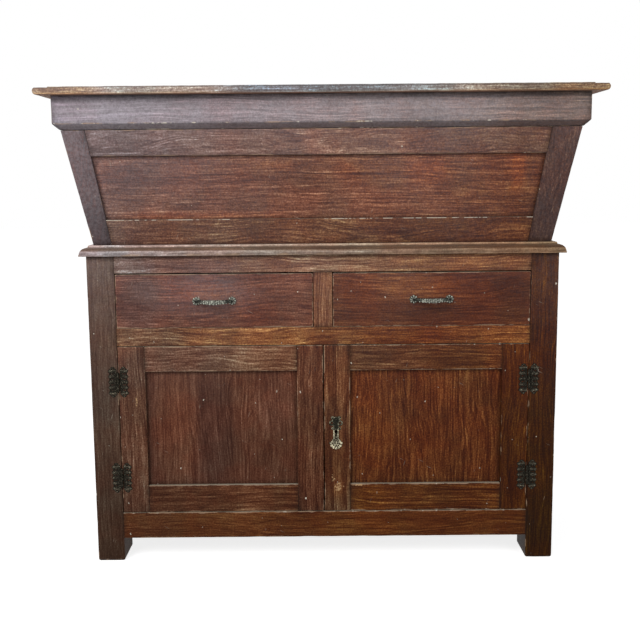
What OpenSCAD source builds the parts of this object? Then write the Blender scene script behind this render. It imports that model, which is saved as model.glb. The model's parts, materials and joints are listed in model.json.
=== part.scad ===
// Bread cupboard: a flared kneading trough under a lifting lid, standing on a
// cupboard with two drawers and two panelled doors. Millimetres. X runs to the
// right, the front faces -Y, Z is up, the floor is at Z = 0 and the middle of
// the whole box is at X = 0, Y = 0.

/* [Carcass] */

// outer width of the cupboard over its legs
body_w = 1000; // [960:5:1040]
// depth of the cupboard from front face to back face
body_d = 460; // [430:5:500]
// width of every leg, seen from the front
leg_w = 58; // [54:1:62]
// depth of a front leg
front_leg_d = 90; // [80:2:100]
// depth of a rear leg
rear_leg_d = 45; // [42:1:52]
// clear height under the bottom rail
foot_h = 52; // [44:1:62]
// chamfer round the foot of a leg
foot_chamfer = 3; // [2:0.5:5]
// height of the bottom rail
bottom_rail_h = 58; // [52:1:64]
// height of the door opening
door_open_h = 371; // [350:1:390]
// height of the rail between doors and drawers
middle_rail_h = 38.5; // [36:0.5:42]
// height of the drawer opening
drawer_open_h = 117.5; // [112:0.5:124]
// height of the rail above the drawers
top_rail_h = 37.5; // [35:0.5:41]
// thickness of the front rails
rail_t = 28; // [26:0.5:30]
// width of the upright between the drawers
muntin_w = 40; // [36:1:44]
// thickness of the rails in the sides
side_rail_t = 28; // [26:1:32]
// thickness of the rails at the back
back_rail_t = 22; // [20:1:24]
// thickness of the panels in the sides
side_panel_t = 10; // [9:0.5:11]
// how far the side panels lie inside the outer face
side_recess = 10; // [9:0.5:11]
// thickness of the vertical back boards
back_board_t = 10; // [9:0.5:12]
// number of back boards
back_board_n = 7; // [6:1:8]
// thickness of the cupboard floor and the shelf
shelf_t = 16; // [14:1:18]
// height of the shelf above the door opening's lower edge
shelf_h = 178; // [160:2:200]
// section of the cleats under the shelf
cleat_s = 20; // [18:1:22]

/* [Joinery] */

// length of the tenons on the rails
tenon_l = 24; // [20:1:28]
// shoulder above and below a tenon
tenon_shoulder = 7; // [6:0.5:9]
// how far a panel edge sits in its groove
groove_in = 8; // [7:0.5:9]
// free room at the end of a mortise or groove
end_room = 1; // [0.6:0.1:1.4]
// depth of the rebate that carries the cupboard floor and the back boards
rebate = 12; // [10:1:14]

/* [Waist moulding] */

// thickness of the moulded frame between cupboard and trough
waist_t = 22; // [21:0.5:25]
// how far the moulding stands out past the cupboard
waist_out = 13; // [12:0.5:15]
// how far the moulded frame reaches in over the cupboard
waist_in = 62; // [56:1:68]
// height of the plain nose under the rounded part
waist_nose_h = 4; // [3:0.5:5]

/* [Trough] */

// how far the foot of the trough stands back from the cupboard face
trough_set = 14; // [12:0.5:16]
// height of the trough from moulding to rim
trough_h = 238; // [226:1:250]
// how far the front and the ends lean out over that height
flare_run = 47; // [38:1:54]
// thickness of the framed front
trough_front_t = 22; // [21:0.5:24]
// thickness of the two ends
trough_end_t = 20; // [18:0.5:22]
// thickness of the back
trough_back_t = 20; // [18:0.5:22]
// thickness of the trough floor
trough_floor_t = 18; // [16:1:20]
// height of the lower rail of the framed front
trough_lower_rail_h = 53.5; // [48:0.5:58]
// height of the upper rail of the framed front
trough_upper_rail_h = 52.5; // [48:0.5:58]
// width of the left upright at its foot
left_stile_foot = 39; // [36:1:44]
// width of the left upright at the rim
left_stile_head = 49; // [46:1:54]
// width of the right upright at its foot
right_stile_foot = 50; // [46:1:54]
// width of the right upright at the rim
right_stile_head = 62; // [58:1:66]
// how far the trough panel lies behind its frame
trough_recess = 8; // [7:0.5:9]
// thickness of the trough panel
trough_panel_t = 8; // [7:0.5:9]

/* [Lid] */

// gap between the trough rim and the closed lid
lid_gap = 0.5; // [0.4:0.1:1]
// how far the lid frame stands out past the trough rim
apron_out = 13.5; // [12:0.5:15]
// height of the lid frame
apron_h = 68.5; // [62:0.5:76]
// thickness of the boards of the lid frame
apron_t = 22; // [20:0.5:24]
// height of the bevel along the foot of the lid frame
apron_bevel = 12; // [10:0.5:14]
// how far the lid boards reach past the lid frame
lid_over = 28.5; // [26:0.5:32]
// thickness of the lid boards
lid_t = 17; // [16:0.5:20]
// depth of the step in the moulded edge
lid_step = 3.5; // [3:0.5:4]
// width of the moulded edge
lid_edge = 24; // [22:1:28]
// width of the front lid board
lid_front_board = 300; // [260:5:330]
// width of the battens under the lid
batten_w = 45; // [38:1:52]
// thickness of the battens under the lid
batten_t = 20; // [18:1:24]

/* [Doors] */

// thickness of the door frames
door_t = 22; // [21:0.5:23]
// gap between a door and the leg beside it
door_gap = 1.2; // [1:0.1:1.6]
// gap between the two doors
meeting_gap = 2.2; // [2:0.1:2.8]
// gap above and below the doors
door_room = 1.4; // [1.2:0.1:1.8]
// width of the hinge stiles
hinge_stile_w = 57; // [53:1:61]
// width of the stiles where the doors meet
lock_stile_w = 56; // [53:1:60]
// height of the top rails of the doors
door_top_h = 55; // [51:1:59]
// height of the bottom rails of the doors
door_bottom_h = 60; // [56:1:66]
// how far the door panels lie behind their frames
door_recess = 10; // [9:0.5:11]
// thickness of the door panels
door_panel_t = 8; // [7:0.5:9]
// gap between the back of a door and the lip it closes against
stop_gap = 0.4; // [0.3:0.1:0.8]
// height of the lip the doors close against
stop_h = 9; // [8:0.5:11]

/* [Drawers] */

// gap beside each drawer
drawer_gap = 1.3; // [1:0.1:1.6]
// gap above each drawer front
drawer_top_gap = 2.4; // [2:0.1:3]
// gap under each drawer front
drawer_foot_gap = 0.5; // [0.4:0.1:0.8]
// thickness of the drawer fronts
drawer_front_t = 20; // [19:0.5:22]
// thickness of the drawer sides
drawer_side_t = 12; // [11:0.5:13]
// height of the drawer sides
drawer_side_h = 106; // [100:1:108]
// length of the drawers from front to back
drawer_l = 400; // [370:5:405]
// thickness of the drawer backs
drawer_back_t = 10; // [9:0.5:12]
// thickness of the drawer bottoms
drawer_bottom_t = 7; // [6:0.5:8]
// wood left in front of the dovetails
dovetail_lap = 7; // [6:0.5:8]
// number of dovetails at each corner
dovetail_n = 3; // [2:1:4]
// slope of the dovetails, sideways run for each millimetre of length
dovetail_slope = 0.2; // [0.14:0.01:0.24]

/* [Pulls] */

// distance between the two posts of a pull
pull_pitch = 76; // [70:1:84]
// how far a pull stands out from the drawer
pull_out = 25; // [22:0.5:28]
// thickness of the bow
pull_t = 3.5; // [3:0.1:4.2]
// height of the bow in the middle
pull_h = 10; // [9:0.5:11]
// radius of the end rosettes
rosette_r = 9.4; // [8.6:0.1:10]

/* [Hinges and lock] */

// height of a door hinge between the lobes of its leaves
hinge_h = 67; // [62:1:72]
// width of a door hinge, both leaves together
hinge_w = 43; // [40:1:46]
// thickness of the hinge leaves
leaf_t = 2.4; // [2:0.1:2.6]
// radius of the door hinge knuckles
knuckle_r = 3; // [2.8:0.1:3.2]
// radius of the hinge pins
pin_r = 1.5; // [1.3:0.1:1.6]
// radial play between a pin and the knuckle turning on it
pin_play = 0.06; // [0.04:0.01:0.1]
// gap between neighbouring knuckles
knuckle_gap = 0.4; // [0.3:0.1:0.6]
// height of the upper hinges above the door opening's lower edge
upper_hinge_h = 293; // [280:1:305]
// height of the lower hinges above the door opening's lower edge
lower_hinge_h = 80; // [70:1:95]
// distance of the keyhole from the meeting edge of the right door
key_x = 25; // [23:0.5:27]
// height of the keyhole above the door opening's lower edge
key_h = 180; // [160:1:200]
// radius of the round eye of the keyhole
key_r = 3.2; // [2.8:0.1:3.6]
// how far the keyhole plate reaches above the keyhole
plate_up = 34; // [32:0.5:37]
// how far the keyhole plate reaches below the keyhole
plate_down = 42; // [39:0.5:45]
// width of the fan-shaped foot of the keyhole plate
plate_w = 32; // [30:0.5:34]
// radius of the lobes round the keyhole plate
plate_lobe_r = 3; // [2.6:0.1:3.4]
// distance of the lid hinges from the middle
lid_hinge_x = 330; // [280:5:380]
// width of a lid hinge
lid_hinge_w = 60; // [54:1:70]
// height of a lid hinge leaf
lid_leaf_h = 44; // [38:1:50]
// radius of the lid hinge knuckles
lid_knuckle_r = 4; // [3.8:0.1:4.4]
// radius of a nail shank
nail_r = 0.9; // [0.8:0.05:1]
// radius of a nail head
nail_head_r = 2; // [1.8:0.1:2.2]

/* [Hidden] */

$fn = 48;
// smoothness of long shallow arcs
fine = 720;

// clear air between a knuckle and the wood behind it
air = 0.4;
// a small overlap used only to cut cleanly
cut = 1;

half_w = body_w / 2;
half_open = half_w - leg_w;

z_doors = foot_h + bottom_rail_h;
z_middle = z_doors + door_open_h;
z_drawers = z_middle + middle_rail_h;
z_top = z_drawers + drawer_open_h;
z_waist = z_top + top_rail_h;
z_trough = z_waist + waist_t;
z_rim = z_trough + trough_h;
z_apron = z_rim + lid_gap;
z_lid = z_apron + apron_h;

rim_out = flare_run - trough_set;
apron_face = rim_out + apron_out;
lid_face = apron_face + lid_over;

lid_axis_out = lid_knuckle_r + air;
lid_axis_z = z_rim + lid_gap / 2;
all_d = lid_face + body_d + lid_axis_out + lid_knuckle_r;
front_y = lid_face - all_d / 2;
back_y = front_y + body_d;

panel_x1 = half_w - side_recess;
panel_x0 = panel_x1 - side_panel_t;
side_rail_x = half_w - side_rail_t;
legs_y0 = front_y + front_leg_d;
legs_y1 = back_y - rear_leg_d;
back_rail_y1 = back_y - back_board_t;
back_rail_y0 = back_rail_y1 - back_rail_t;
tenon_t = rail_t / 3;
tenon_y0 = front_y + tenon_t;
tenon_y1 = tenon_y0 + tenon_t;
back_tenon_y0 = back_rail_y0 + back_rail_t / 3;
back_tenon_y1 = back_rail_y1 - back_rail_t / 3;
back_tenon_l = 18;
stop_y = front_y + door_t + stop_gap;

door_x0 = meeting_gap / 2;
door_x1 = half_open - door_gap;
door_z0 = z_doors + door_room;
door_z1 = z_middle - door_room;
door_in0 = door_x0 + lock_stile_w;
door_in1 = door_x1 - hinge_stile_w;
door_panel_z0 = door_z0 + door_bottom_h;
door_panel_z1 = door_z1 - door_top_h;
door_groove_y0 = front_y + door_recess;
door_groove_y1 = door_groove_y0 + door_panel_t;
door_tenon_l = 22;

hinge_x = half_open - door_gap / 2;
hinge_y = front_y - knuckle_r - air;
hinge_zs = [z_doors + lower_hinge_h, z_doors + upper_hinge_h];
knuckle_l = hinge_h * 0.2;
leaf_x0 = knuckle_r + air;
leaf_lobe = hinge_w / 10;

drawer_x0 = muntin_w / 2 + drawer_gap;
drawer_x1 = half_open - drawer_gap;
drawer_z0 = z_drawers + drawer_foot_gap;
drawer_z1 = z_top - drawer_top_gap;
drawer_end = front_y + drawer_l;
drawer_mid_x = (drawer_x0 + drawer_x1) / 2;
drawer_mid_z = (z_drawers + z_top) / 2;
bottom_up = 8;
bottom_in = 6;
bottom_z0 = drawer_z0 + bottom_up;
bottom_z1 = bottom_z0 + drawer_bottom_t;
drawer_back_z1 = drawer_z0 + drawer_side_h - 6;

runner_h = 22;
guide_h = 30;
runner_under = 18;

post_r = 2.5;
pull_post_y = 7.5;

key_z = z_doors + key_h;
case_y0 = front_y + door_t;
case_y1 = case_y0 + 14;
case_wall = 1.5;
case_x0 = door_x0 + 2;
case_x1 = case_x0 + 48;
case_h = 52;
bolt_y0 = case_y0 + 4;
bolt_y1 = case_y0 + 10;
bolt_z0 = key_z + 6;
bolt_z1 = bolt_z0 + 11;
bolt_play = 0.35;
slide_x0 = -door_x0 - 34;
slide_x1 = slide_x0 + 12;
slide_y0 = case_y0 + case_wall;
slide_y1 = slide_y0 + 3;
slide_z1 = z_middle - stop_h - 3;
slide_z0 = slide_z1 - 60;
slide_up = 14;

wood_body = [0.30, 0.15, 0.10];
wood_light = [0.36, 0.19, 0.12];
wood_dark = [0.22, 0.12, 0.09];
wood_panel = [0.33, 0.14, 0.09];
wood_inside = [0.45, 0.32, 0.22];
wood_edge = [0.50, 0.38, 0.28];
iron = [0.12, 0.13, 0.12];
pewter = [0.38, 0.42, 0.38];
old_brass = [0.52, 0.50, 0.36];

// the node to draw, or all of them

// Shared helpers

// a block between two corners
module block(x0, x1, y0, y1, z0, z1) {
    translate([x0, y0, z0])
        cube([x1 - x0, y1 - y0, z1 - z0]);
}

// an outline drawn in X and Z, carried from y0 to y1
module along_y(y0, y1) {
    translate([0, y1, 0])
        rotate([90, 0, 0])
            linear_extrude(y1 - y0)
                children();
}

// an outline drawn in Y and Z, carried from x0 to x1
module along_x(x0, x1) {
    translate([x0, 0, 0])
        rotate([90, 0, 90])
            linear_extrude(x1 - x0)
                children();
}

// an outline drawn in X and Y, carried from z0 to z1
module along_z(z0, z1) {
    translate([0, 0, z0])
        linear_extrude(z1 - z0)
            children();
}

// the shape itself and its mirror image on the other side
module both_sides() {
    children();
    mirror([1, 0, 0])
        children();
}

// how far the outside of the trough stands past the cupboard face at height z
function out_at(z) = flare_run * (z - z_trough) / trough_h - trough_set;
function half_at(z) = half_w + out_at(z);
function front_at(z) = front_y - out_at(z);
function part_way(z) = (z - z_trough) / trough_h;
function left_in(z) =
    left_stile_foot + (left_stile_head - left_stile_foot) * part_way(z) - half_at(z);
function right_in(z) =
    half_at(z) - right_stile_foot - (right_stile_head - right_stile_foot) * part_way(z);

// Fasteners

// a nail driven to the rear: round head in front of the face, shank behind it
module nail(length, r, head_r) {
    rotate([-90, 0, 0])
        cylinder(h = length, r = r);
    if (head_r > 0)
        rotate([90, 0, 0])
            intersection() {
                translate([0, 0, -head_r * 0.9])
                    sphere(r = head_r * 1.35);
                cylinder(h = head_r, r = head_r * 1.5);
            }
}

// nail places on one door hinge leaf, away from the hinge axis on the right
module leaf_nails(turn, face, head_r) {
    for (z = hinge_zs)
        for (place = [[0.28, -0.32], [0.36, 0], [0.28, 0.32]])
            translate([hinge_x + turn * place[0] * hinge_w, face, z + place[1] * hinge_h])
                nail(12, nail_r, head_r);
}

// screws through one leaf of each lid hinge
module lid_leaf_screws(turn, head_r) {
    for (x = [-lid_hinge_x, lid_hinge_x])
        for (side = [-0.33, 0, 0.33])
            translate([
                x + side * lid_hinge_w,
                back_y + (head_r > 0 ? leaf_t : 0),
                lid_axis_z + turn * lid_leaf_h * (side == 0 ? 0.72 : 0.4)
            ])
                mirror([0, 1, 0])
                    nail(head_r > 0 ? 13 : 14, nail_r, head_r);
}

// nails through the back boards into the back rails
module back_board_nails(head_r) {
    board_w = 2 * (half_open + rebate) / back_board_n;
    for (i = [0 : back_board_n - 1])
        for (z = [foot_h + bottom_rail_h / 2, z_waist - top_rail_h / 2])
            translate([board_w * (i + 0.5) - half_open - rebate, back_y, z])
                mirror([0, 1, 0])
                    nail(back_board_t + 12, nail_r, head_r);
}

// Carcass

// a front rail with its tenons, the tenons longer by extra
module rail_tenons(z0, z1, extra) {
    block(-half_open - tenon_l - extra, half_open + tenon_l + extra,
        tenon_y0, tenon_y1, z0 + tenon_shoulder, z1 - tenon_shoulder);
}

module front_rail(z0, z1) {
    block(-half_open, half_open, front_y, front_y + rail_t, z0, z1);
    rail_tenons(z0, z1, 0);
}

// tenons of the upright between the drawers
module muntin_tenons(extra) {
    block(-muntin_w / 2 + tenon_shoulder, muntin_w / 2 - tenon_shoulder,
        tenon_y0, tenon_y1, z_drawers - 14 - extra, z_top + 14 + extra);
}

// tenons of the side rails, on the right
module side_rail_tenons(extra) {
    for (span = [[foot_h, z_doors], [z_top, z_waist]])
        block(panel_x0, panel_x1, legs_y0 - tenon_l - extra, legs_y1 + back_tenon_l + extra,
            span[0] + tenon_shoulder, span[1] - tenon_shoulder);
}

// tenons of the back rails
module back_rail_tenons(extra) {
    for (span = [[foot_h, z_doors], [z_drawers - runner_h, z_drawers], [z_top, z_waist]])
        block(-half_open - back_tenon_l - extra, half_open + back_tenon_l + extra,
            back_tenon_y0, back_tenon_y1, span[0] + 4, span[1] - 4);
}

// the side panel on the right, grown at its edges by extra
module side_panel(extra) {
    block(panel_x0, panel_x1,
        legs_y0 - groove_in - extra, legs_y1 + groove_in + extra,
        z_doors - groove_in - extra, z_top + groove_in + extra);
}

// a post on the right with a chamfered foot
module leg_blank(y0, y1) {
    intersection() {
        along_y(y0, y1)
            polygon([
                [half_open, foot_chamfer], [half_open + foot_chamfer, 0],
                [half_w - foot_chamfer, 0], [half_w, foot_chamfer],
                [half_w, z_waist], [half_open, z_waist]
            ]);
        along_x(half_open - cut, half_w + cut)
            polygon([
                [y0, foot_chamfer], [y0 + foot_chamfer, 0],
                [y1 - foot_chamfer, 0], [y1, foot_chamfer],
                [y1, z_waist], [y0, z_waist]
            ]);
    }
}

module front_leg() {
    difference() {
        leg_blank(front_y, legs_y0);
        rail_tenons(foot_h, z_doors, end_room);
        rail_tenons(z_middle, z_drawers, end_room);
        rail_tenons(z_top, z_waist, end_room);
        side_rail_tenons(end_room);
        side_panel(end_room);
        leaf_nails(1, front_y, 0);
    }
}

module front_leg_right() {
    color(wood_body)
        front_leg();
}

module front_leg_left() {
    color(wood_dark)
        mirror([1, 0, 0])
            front_leg();
}

module rear_legs() {
    color(wood_dark)
        both_sides()
            difference() {
                leg_blank(legs_y1, back_y);
                side_rail_tenons(end_room);
                side_panel(end_room);
                back_rail_tenons(end_room);
                block(half_open - cut, half_open + rebate, back_y - back_board_t, back_y + cut,
                    foot_h, z_waist + cut);
            }
}

module bottom_rail() {
    color(wood_body)
        difference() {
            front_rail(foot_h, z_doors);
            block(-half_open - tenon_l, half_open + tenon_l,
                front_y + rail_t - rebate, front_y + rail_t + cut, z_doors - shelf_t, z_doors + cut);
        }
}

// the back of this rail hangs down as a lip for the doors to close against
module middle_rail() {
    color(wood_body)
        difference() {
            union() {
                front_rail(z_middle, z_drawers);
                block(-half_open, half_open, stop_y, front_y + rail_t, z_middle - stop_h, z_drawers);
            }
            muntin_tenons(end_room);
            slide_bolt(bolt_play, slide_up + end_room);
        }
}

module top_rail() {
    color(wood_light)
        difference() {
            front_rail(z_top, z_waist);
            muntin_tenons(end_room);
        }
}

module drawer_muntin() {
    color(wood_light) {
        block(-muntin_w / 2, muntin_w / 2, front_y, front_y + rail_t, z_drawers, z_top);
        muntin_tenons(0);
    }
}

module side_panels() {
    color(wood_body)
        both_sides()
            side_panel(0);
}

// four rails in the sides and three across the back
module carcass_rails() {
    color(wood_dark) {
        both_sides()
            difference() {
                union() {
                    for (span = [[foot_h, z_doors], [z_top, z_waist]])
                        block(side_rail_x, half_w, legs_y0, legs_y1, span[0], span[1]);
                    side_rail_tenons(0);
                }
                side_panel(end_room);
                block(0, half_w, legs_y0 - groove_in, legs_y1 + groove_in, z_doors, z_top);
            }
        difference() {
            union() {
                for (span = [[foot_h, z_doors], [z_drawers - runner_h, z_drawers], [z_top, z_waist]])
                    block(-half_open, half_open, back_rail_y0, back_rail_y1, span[0], span[1]);
                back_rail_tenons(0);
            }
            block(-half_open - rebate, half_open + rebate,
                back_rail_y0 - cut, back_rail_y0 + rebate, z_doors - shelf_t, z_doors + cut);
            back_board_nails(0);
        }
    }
}

// vertical boards, each with a tongue that enters its neighbour
module back_boards() {
    board_w = 2 * (half_open + rebate) / back_board_n;
    third = back_board_t / 3;
    color(wood_dark)
        for (i = [0 : back_board_n - 1]) {
            x0 = board_w * i - half_open - rebate;
            difference() {
                union() {
                    block(x0, x0 + board_w, back_y - back_board_t, back_y, foot_h, z_waist);
                    if (i < back_board_n - 1)
                        block(x0 + board_w - cut, x0 + board_w + 4,
                            back_y - 2 * third, back_y - third, foot_h, z_waist);
                }
                if (i > 0)
                    block(x0 - cut, x0 + 4 + end_room,
                        back_y - 2 * third, back_y - third, foot_h - cut, z_waist + cut);
                back_board_nails(0);
            }
        }
}

// the floor rests in the rebates of the front and back bottom rails
module cupboard_floor() {
    color(wood_inside) {
        block(-half_open, half_open, front_y + rail_t - rebate, back_rail_y0 + rebate,
            z_doors - shelf_t, z_doors);
        block(-side_rail_x, side_rail_x, legs_y0, legs_y1, z_doors - shelf_t, z_doors);
    }
}

module shelf() {
    z0 = z_doors + shelf_h;
    color(wood_inside) {
        block(-panel_x0 + end_room, panel_x0 - end_room, legs_y0 + end_room, legs_y1 - end_room,
            z0, z0 + shelf_t);
        block(-half_open + end_room, half_open - end_room, legs_y1 - 2 * end_room,
            back_rail_y1 - end_room, z0, z0 + shelf_t);
    }
}

module shelf_cleats() {
    color(wood_inside)
        both_sides()
            block(panel_x0 - cleat_s, panel_x0, legs_y0, legs_y1,
                z_doors + shelf_h - cleat_s, z_doors + shelf_h);
}

// runners under the drawers, guides beside them, kickers above them and the
// small blocks that stop the drawer fronts flush with the rails
module drawer_runners() {
    y0 = front_y + rail_t;
    color(wood_inside) {
        block(-muntin_w / 2 - runner_under, muntin_w / 2 + runner_under, y0, back_rail_y0,
            z_drawers - runner_h, z_drawers);
        block(-muntin_w / 2, muntin_w / 2, y0, back_rail_y0, z_drawers, z_drawers + guide_h);
        block(-muntin_w / 2 - runner_under, muntin_w / 2 + runner_under, y0, back_rail_y0,
            z_top, z_top + runner_h);
        both_sides() {
            for (z = [z_drawers - runner_h, z_top]) {
                block(half_open - runner_under, half_open, y0, back_rail_y0, z, z + runner_h);
                block(half_open - cut, side_rail_x, legs_y0, legs_y1, z, z + runner_h);
            }
            block(half_open, panel_x0, legs_y0, legs_y1, z_drawers - runner_h, z_drawers + guide_h);
            for (x = [drawer_x0 + 50, drawer_x1 - 80])
                block(x, x + 30, front_y + drawer_front_t + stop_gap, y0, z_drawers, z_drawers + 5);
        }
    }
}

// Waist moulding

// the moulded section: 0 is the cupboard face, outward is positive
module waist_section() {
    round_r = waist_out + 0.5;
    square_to = -waist_out * 0.3;
    translate([-waist_in, 0])
        square([waist_in + square_to, waist_t]);
    translate([-waist_in, 0])
        square([waist_in + waist_out, waist_nose_h]);
    intersection() {
        translate([waist_out - 1 - round_r, waist_nose_h])
            circle(r = round_r);
        translate([square_to - cut, waist_nose_h - cut])
            square([waist_out - square_to + cut, waist_t - waist_nose_h]);
    }
}

// plan of a mitred strip on the right: edge is the outer line, w the strip width
module mitre_side(edge_x, edge_y, w, y1) {
    polygon([[edge_x, edge_y], [edge_x, y1], [edge_x - w, y1], [edge_x - w, edge_y + w]]);
}

module mitre_front(edge_x, edge_y, w) {
    polygon([
        [-edge_x, edge_y], [edge_x, edge_y],
        [edge_x - w, edge_y + w], [w - edge_x, edge_y + w]
    ]);
}

module waist_moulding() {
    edge_x = half_w + waist_out;
    edge_y = front_y - waist_out;
    w = waist_in + waist_out;
    color(wood_edge) {
        intersection() {
            translate([-edge_x, front_y, z_waist])
                rotate([90, 0, 90])
                    linear_extrude(2 * edge_x)
                        mirror([1, 0])
                            waist_section();
            along_z(z_waist - cut, z_trough + cut)
                mitre_front(edge_x, edge_y, w);
        }
        both_sides()
            intersection() {
                translate([half_w, back_y, z_waist])
                    rotate([90, 0, 0])
                        linear_extrude(back_y - edge_y)
                            waist_section();
                along_z(z_waist - cut, z_trough + cut)
                    mitre_side(edge_x, edge_y, w, back_y);
            }
        block(waist_in - half_w, half_w - waist_in, back_y - waist_in, back_y, z_waist, z_trough);
    }
}

// Trough

// the space between two slanted planes parallel to the trough front,
// a and b behind its face
module front_slab(a, b) {
    along_x(-half_w - 2 * flare_run, half_w + 2 * flare_run)
        polygon([
            [front_at(z_trough) + a, z_trough], [front_at(z_trough) + b, z_trough],
            [front_at(z_rim) + b, z_rim], [front_at(z_rim) + a, z_rim]
        ]);
}

// a piece of the framed front between the inner edges of its stiles,
// reaching the distance reach into them
module front_piece(a, b, z0, z1, reach) {
    intersection() {
        front_slab(a, b);
        along_y(front_at(z_rim) - cut, front_y + 4 * trough_front_t)
            polygon([
                [left_in(z0) - reach, z0], [right_in(z0) + reach, z0],
                [right_in(z1) + reach, z1], [left_in(z1) - reach, z1]
            ]);
    }
}

module trough_rail_tenons(extra) {
    a = trough_recess;
    b = trough_recess + trough_panel_t;
    z1 = z_trough + trough_lower_rail_h;
    z2 = z_rim - trough_upper_rail_h;
    front_piece(a, b, z_trough + tenon_shoulder, z1 - tenon_shoulder, door_tenon_l + extra);
    front_piece(a, b, z2 + tenon_shoulder, z_rim - tenon_shoulder, door_tenon_l + extra);
}

module trough_panel_blank(reach) {
    front_piece(trough_recess, trough_recess + trough_panel_t,
        z_trough + trough_lower_rail_h - reach, z_rim - trough_upper_rail_h + reach, reach);
}

// the tongue of the flared end on the right, longer by extra at the front and
// the back and by over at the top and the foot
module trough_end_tongue(extra, over) {
    third = trough_end_t / 3;
    z0 = z_trough - over;
    z1 = z_rim + over;
    tongue_back = back_y - trough_back_t + groove_in + extra;
    intersection() {
        along_y(front_at(z1) - cut, back_y)
            polygon([
                [half_at(z0) - 2 * third, z0], [half_at(z0) - third, z0],
                [half_at(z1) - third, z1], [half_at(z1) - 2 * third, z1]
            ]);
        along_x(0, half_w + 2 * flare_run)
            polygon([
                [front_at(z0) + trough_front_t - groove_in - extra, z0], [tongue_back, z0],
                [tongue_back, z1], [front_at(z1) + trough_front_t - groove_in - extra, z1]
            ]);
    }
}

// the flared end on the right
module trough_end() {
    intersection() {
        along_y(front_at(z_rim) - cut, back_y)
            polygon([
                [half_at(z_trough) - trough_end_t, z_trough], [half_at(z_trough), z_trough],
                [half_at(z_rim), z_rim], [half_at(z_rim) - trough_end_t, z_rim]
            ]);
        along_x(0, half_w + 2 * flare_run)
            polygon([
                [front_at(z_trough) + trough_front_t, z_trough], [back_y - trough_back_t, z_trough],
                [back_y - trough_back_t, z_rim], [front_at(z_rim) + trough_front_t, z_rim]
            ]);
    }
    trough_end_tongue(0, 0);
}

module trough_ends() {
    color(wood_body)
        both_sides()
            trough_end();
}

module trough_stile_left() {
    color(wood_dark)
        difference() {
            intersection() {
                front_slab(0, trough_front_t);
                along_y(front_at(z_rim) - cut, front_y + 4 * trough_front_t)
                    polygon([
                        [-half_at(z_trough), z_trough], [left_in(z_trough), z_trough],
                        [left_in(z_rim), z_rim], [-half_at(z_rim), z_rim]
                    ]);
            }
            trough_rail_tenons(end_room);
            trough_panel_blank(groove_in + end_room);
            mirror([1, 0, 0])
                trough_end_tongue(end_room, cut);
        }
}

module trough_stile_right() {
    color(wood_body)
        difference() {
            intersection() {
                front_slab(0, trough_front_t);
                along_y(front_at(z_rim) - cut, front_y + 4 * trough_front_t)
                    polygon([
                        [right_in(z_trough), z_trough], [half_at(z_trough), z_trough],
                        [half_at(z_rim), z_rim], [right_in(z_rim), z_rim]
                    ]);
            }
            trough_rail_tenons(end_room);
            trough_panel_blank(groove_in + end_room);
            trough_end_tongue(end_room, cut);
        }
}

module trough_lower_rail() {
    z1 = z_trough + trough_lower_rail_h;
    color(wood_body)
        difference() {
            union() {
                front_piece(0, trough_front_t, z_trough, z1, 0);
                front_piece(trough_recess, trough_recess + trough_panel_t,
                    z_trough + tenon_shoulder, z1 - tenon_shoulder, door_tenon_l);
            }
            trough_panel_blank(groove_in + end_room);
        }
}

module trough_upper_rail() {
    z0 = z_rim - trough_upper_rail_h;
    color(wood_light)
        difference() {
            union() {
                front_piece(0, trough_front_t, z0, z_rim, 0);
                front_piece(trough_recess, trough_recess + trough_panel_t,
                    z0 + tenon_shoulder, z_rim - tenon_shoulder, door_tenon_l);
            }
            trough_panel_blank(groove_in + end_room);
        }
}

module trough_panel() {
    color(wood_panel)
        trough_panel_blank(groove_in);
}

module trough_back() {
    color(wood_dark)
        difference() {
            along_y(back_y - trough_back_t, back_y)
                polygon([
                    [-half_at(z_trough), z_trough], [half_at(z_trough), z_trough],
                    [half_at(z_rim), z_rim], [-half_at(z_rim), z_rim]
                ]);
            both_sides()
                trough_end_tongue(end_room, cut);
            lid_leaf_screws(-1, 0);
        }
}

// the floor fills the foot of the trough, its edges bevelled to the flare
module trough_floor() {
    z1 = z_trough + trough_floor_t;
    color(wood_inside)
        intersection() {
            along_y(front_y - cut, back_y)
                polygon([
                    [trough_end_t - half_at(z_trough), z_trough],
                    [half_at(z_trough) - trough_end_t, z_trough],
                    [half_at(z1) - trough_end_t, z1], [trough_end_t - half_at(z1), z1]
                ]);
            along_x(-half_w, half_w)
                polygon([
                    [front_at(z_trough) + trough_front_t, z_trough],
                    [back_y - trough_back_t, z_trough],
                    [back_y - trough_back_t, z1], [front_at(z1) + trough_front_t, z1]
                ]);
        }
}

// Lid

// section of the lid frame: 0 is its outer face, inward is positive
module apron_section() {
    polygon([
        [0, apron_bevel], [apron_out - 1, 0], [apron_t, 0],
        [apron_t, apron_h], [0, apron_h]
    ]);
}

module lid_apron_front() {
    edge_x = half_w + apron_face;
    edge_y = front_y - apron_face;
    color(wood_light)
        intersection() {
            translate([-edge_x, edge_y, z_apron])
                rotate([90, 0, 90])
                    linear_extrude(2 * edge_x)
                        apron_section();
            along_z(z_apron - cut, z_lid + cut)
                mitre_front(edge_x, edge_y, apron_t);
        }
}

module lid_apron_sides() {
    edge_x = half_w + apron_face;
    edge_y = front_y - apron_face;
    color(wood_light)
        both_sides()
            intersection() {
                translate([edge_x, back_y, z_apron])
                    rotate([90, 0, 0])
                        linear_extrude(back_y - edge_y)
                            mirror([1, 0])
                                apron_section();
                along_z(z_apron - cut, z_lid + cut)
                    mitre_side(edge_x, edge_y, apron_t, back_y);
            }
}

module lid_apron_back() {
    edge_x = half_w + apron_face - apron_t;
    color(wood_light)
        difference() {
            block(-edge_x, edge_x, back_y - apron_t, back_y, z_apron, z_lid);
            lid_leaf_screws(1, 0);
        }
}

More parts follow.
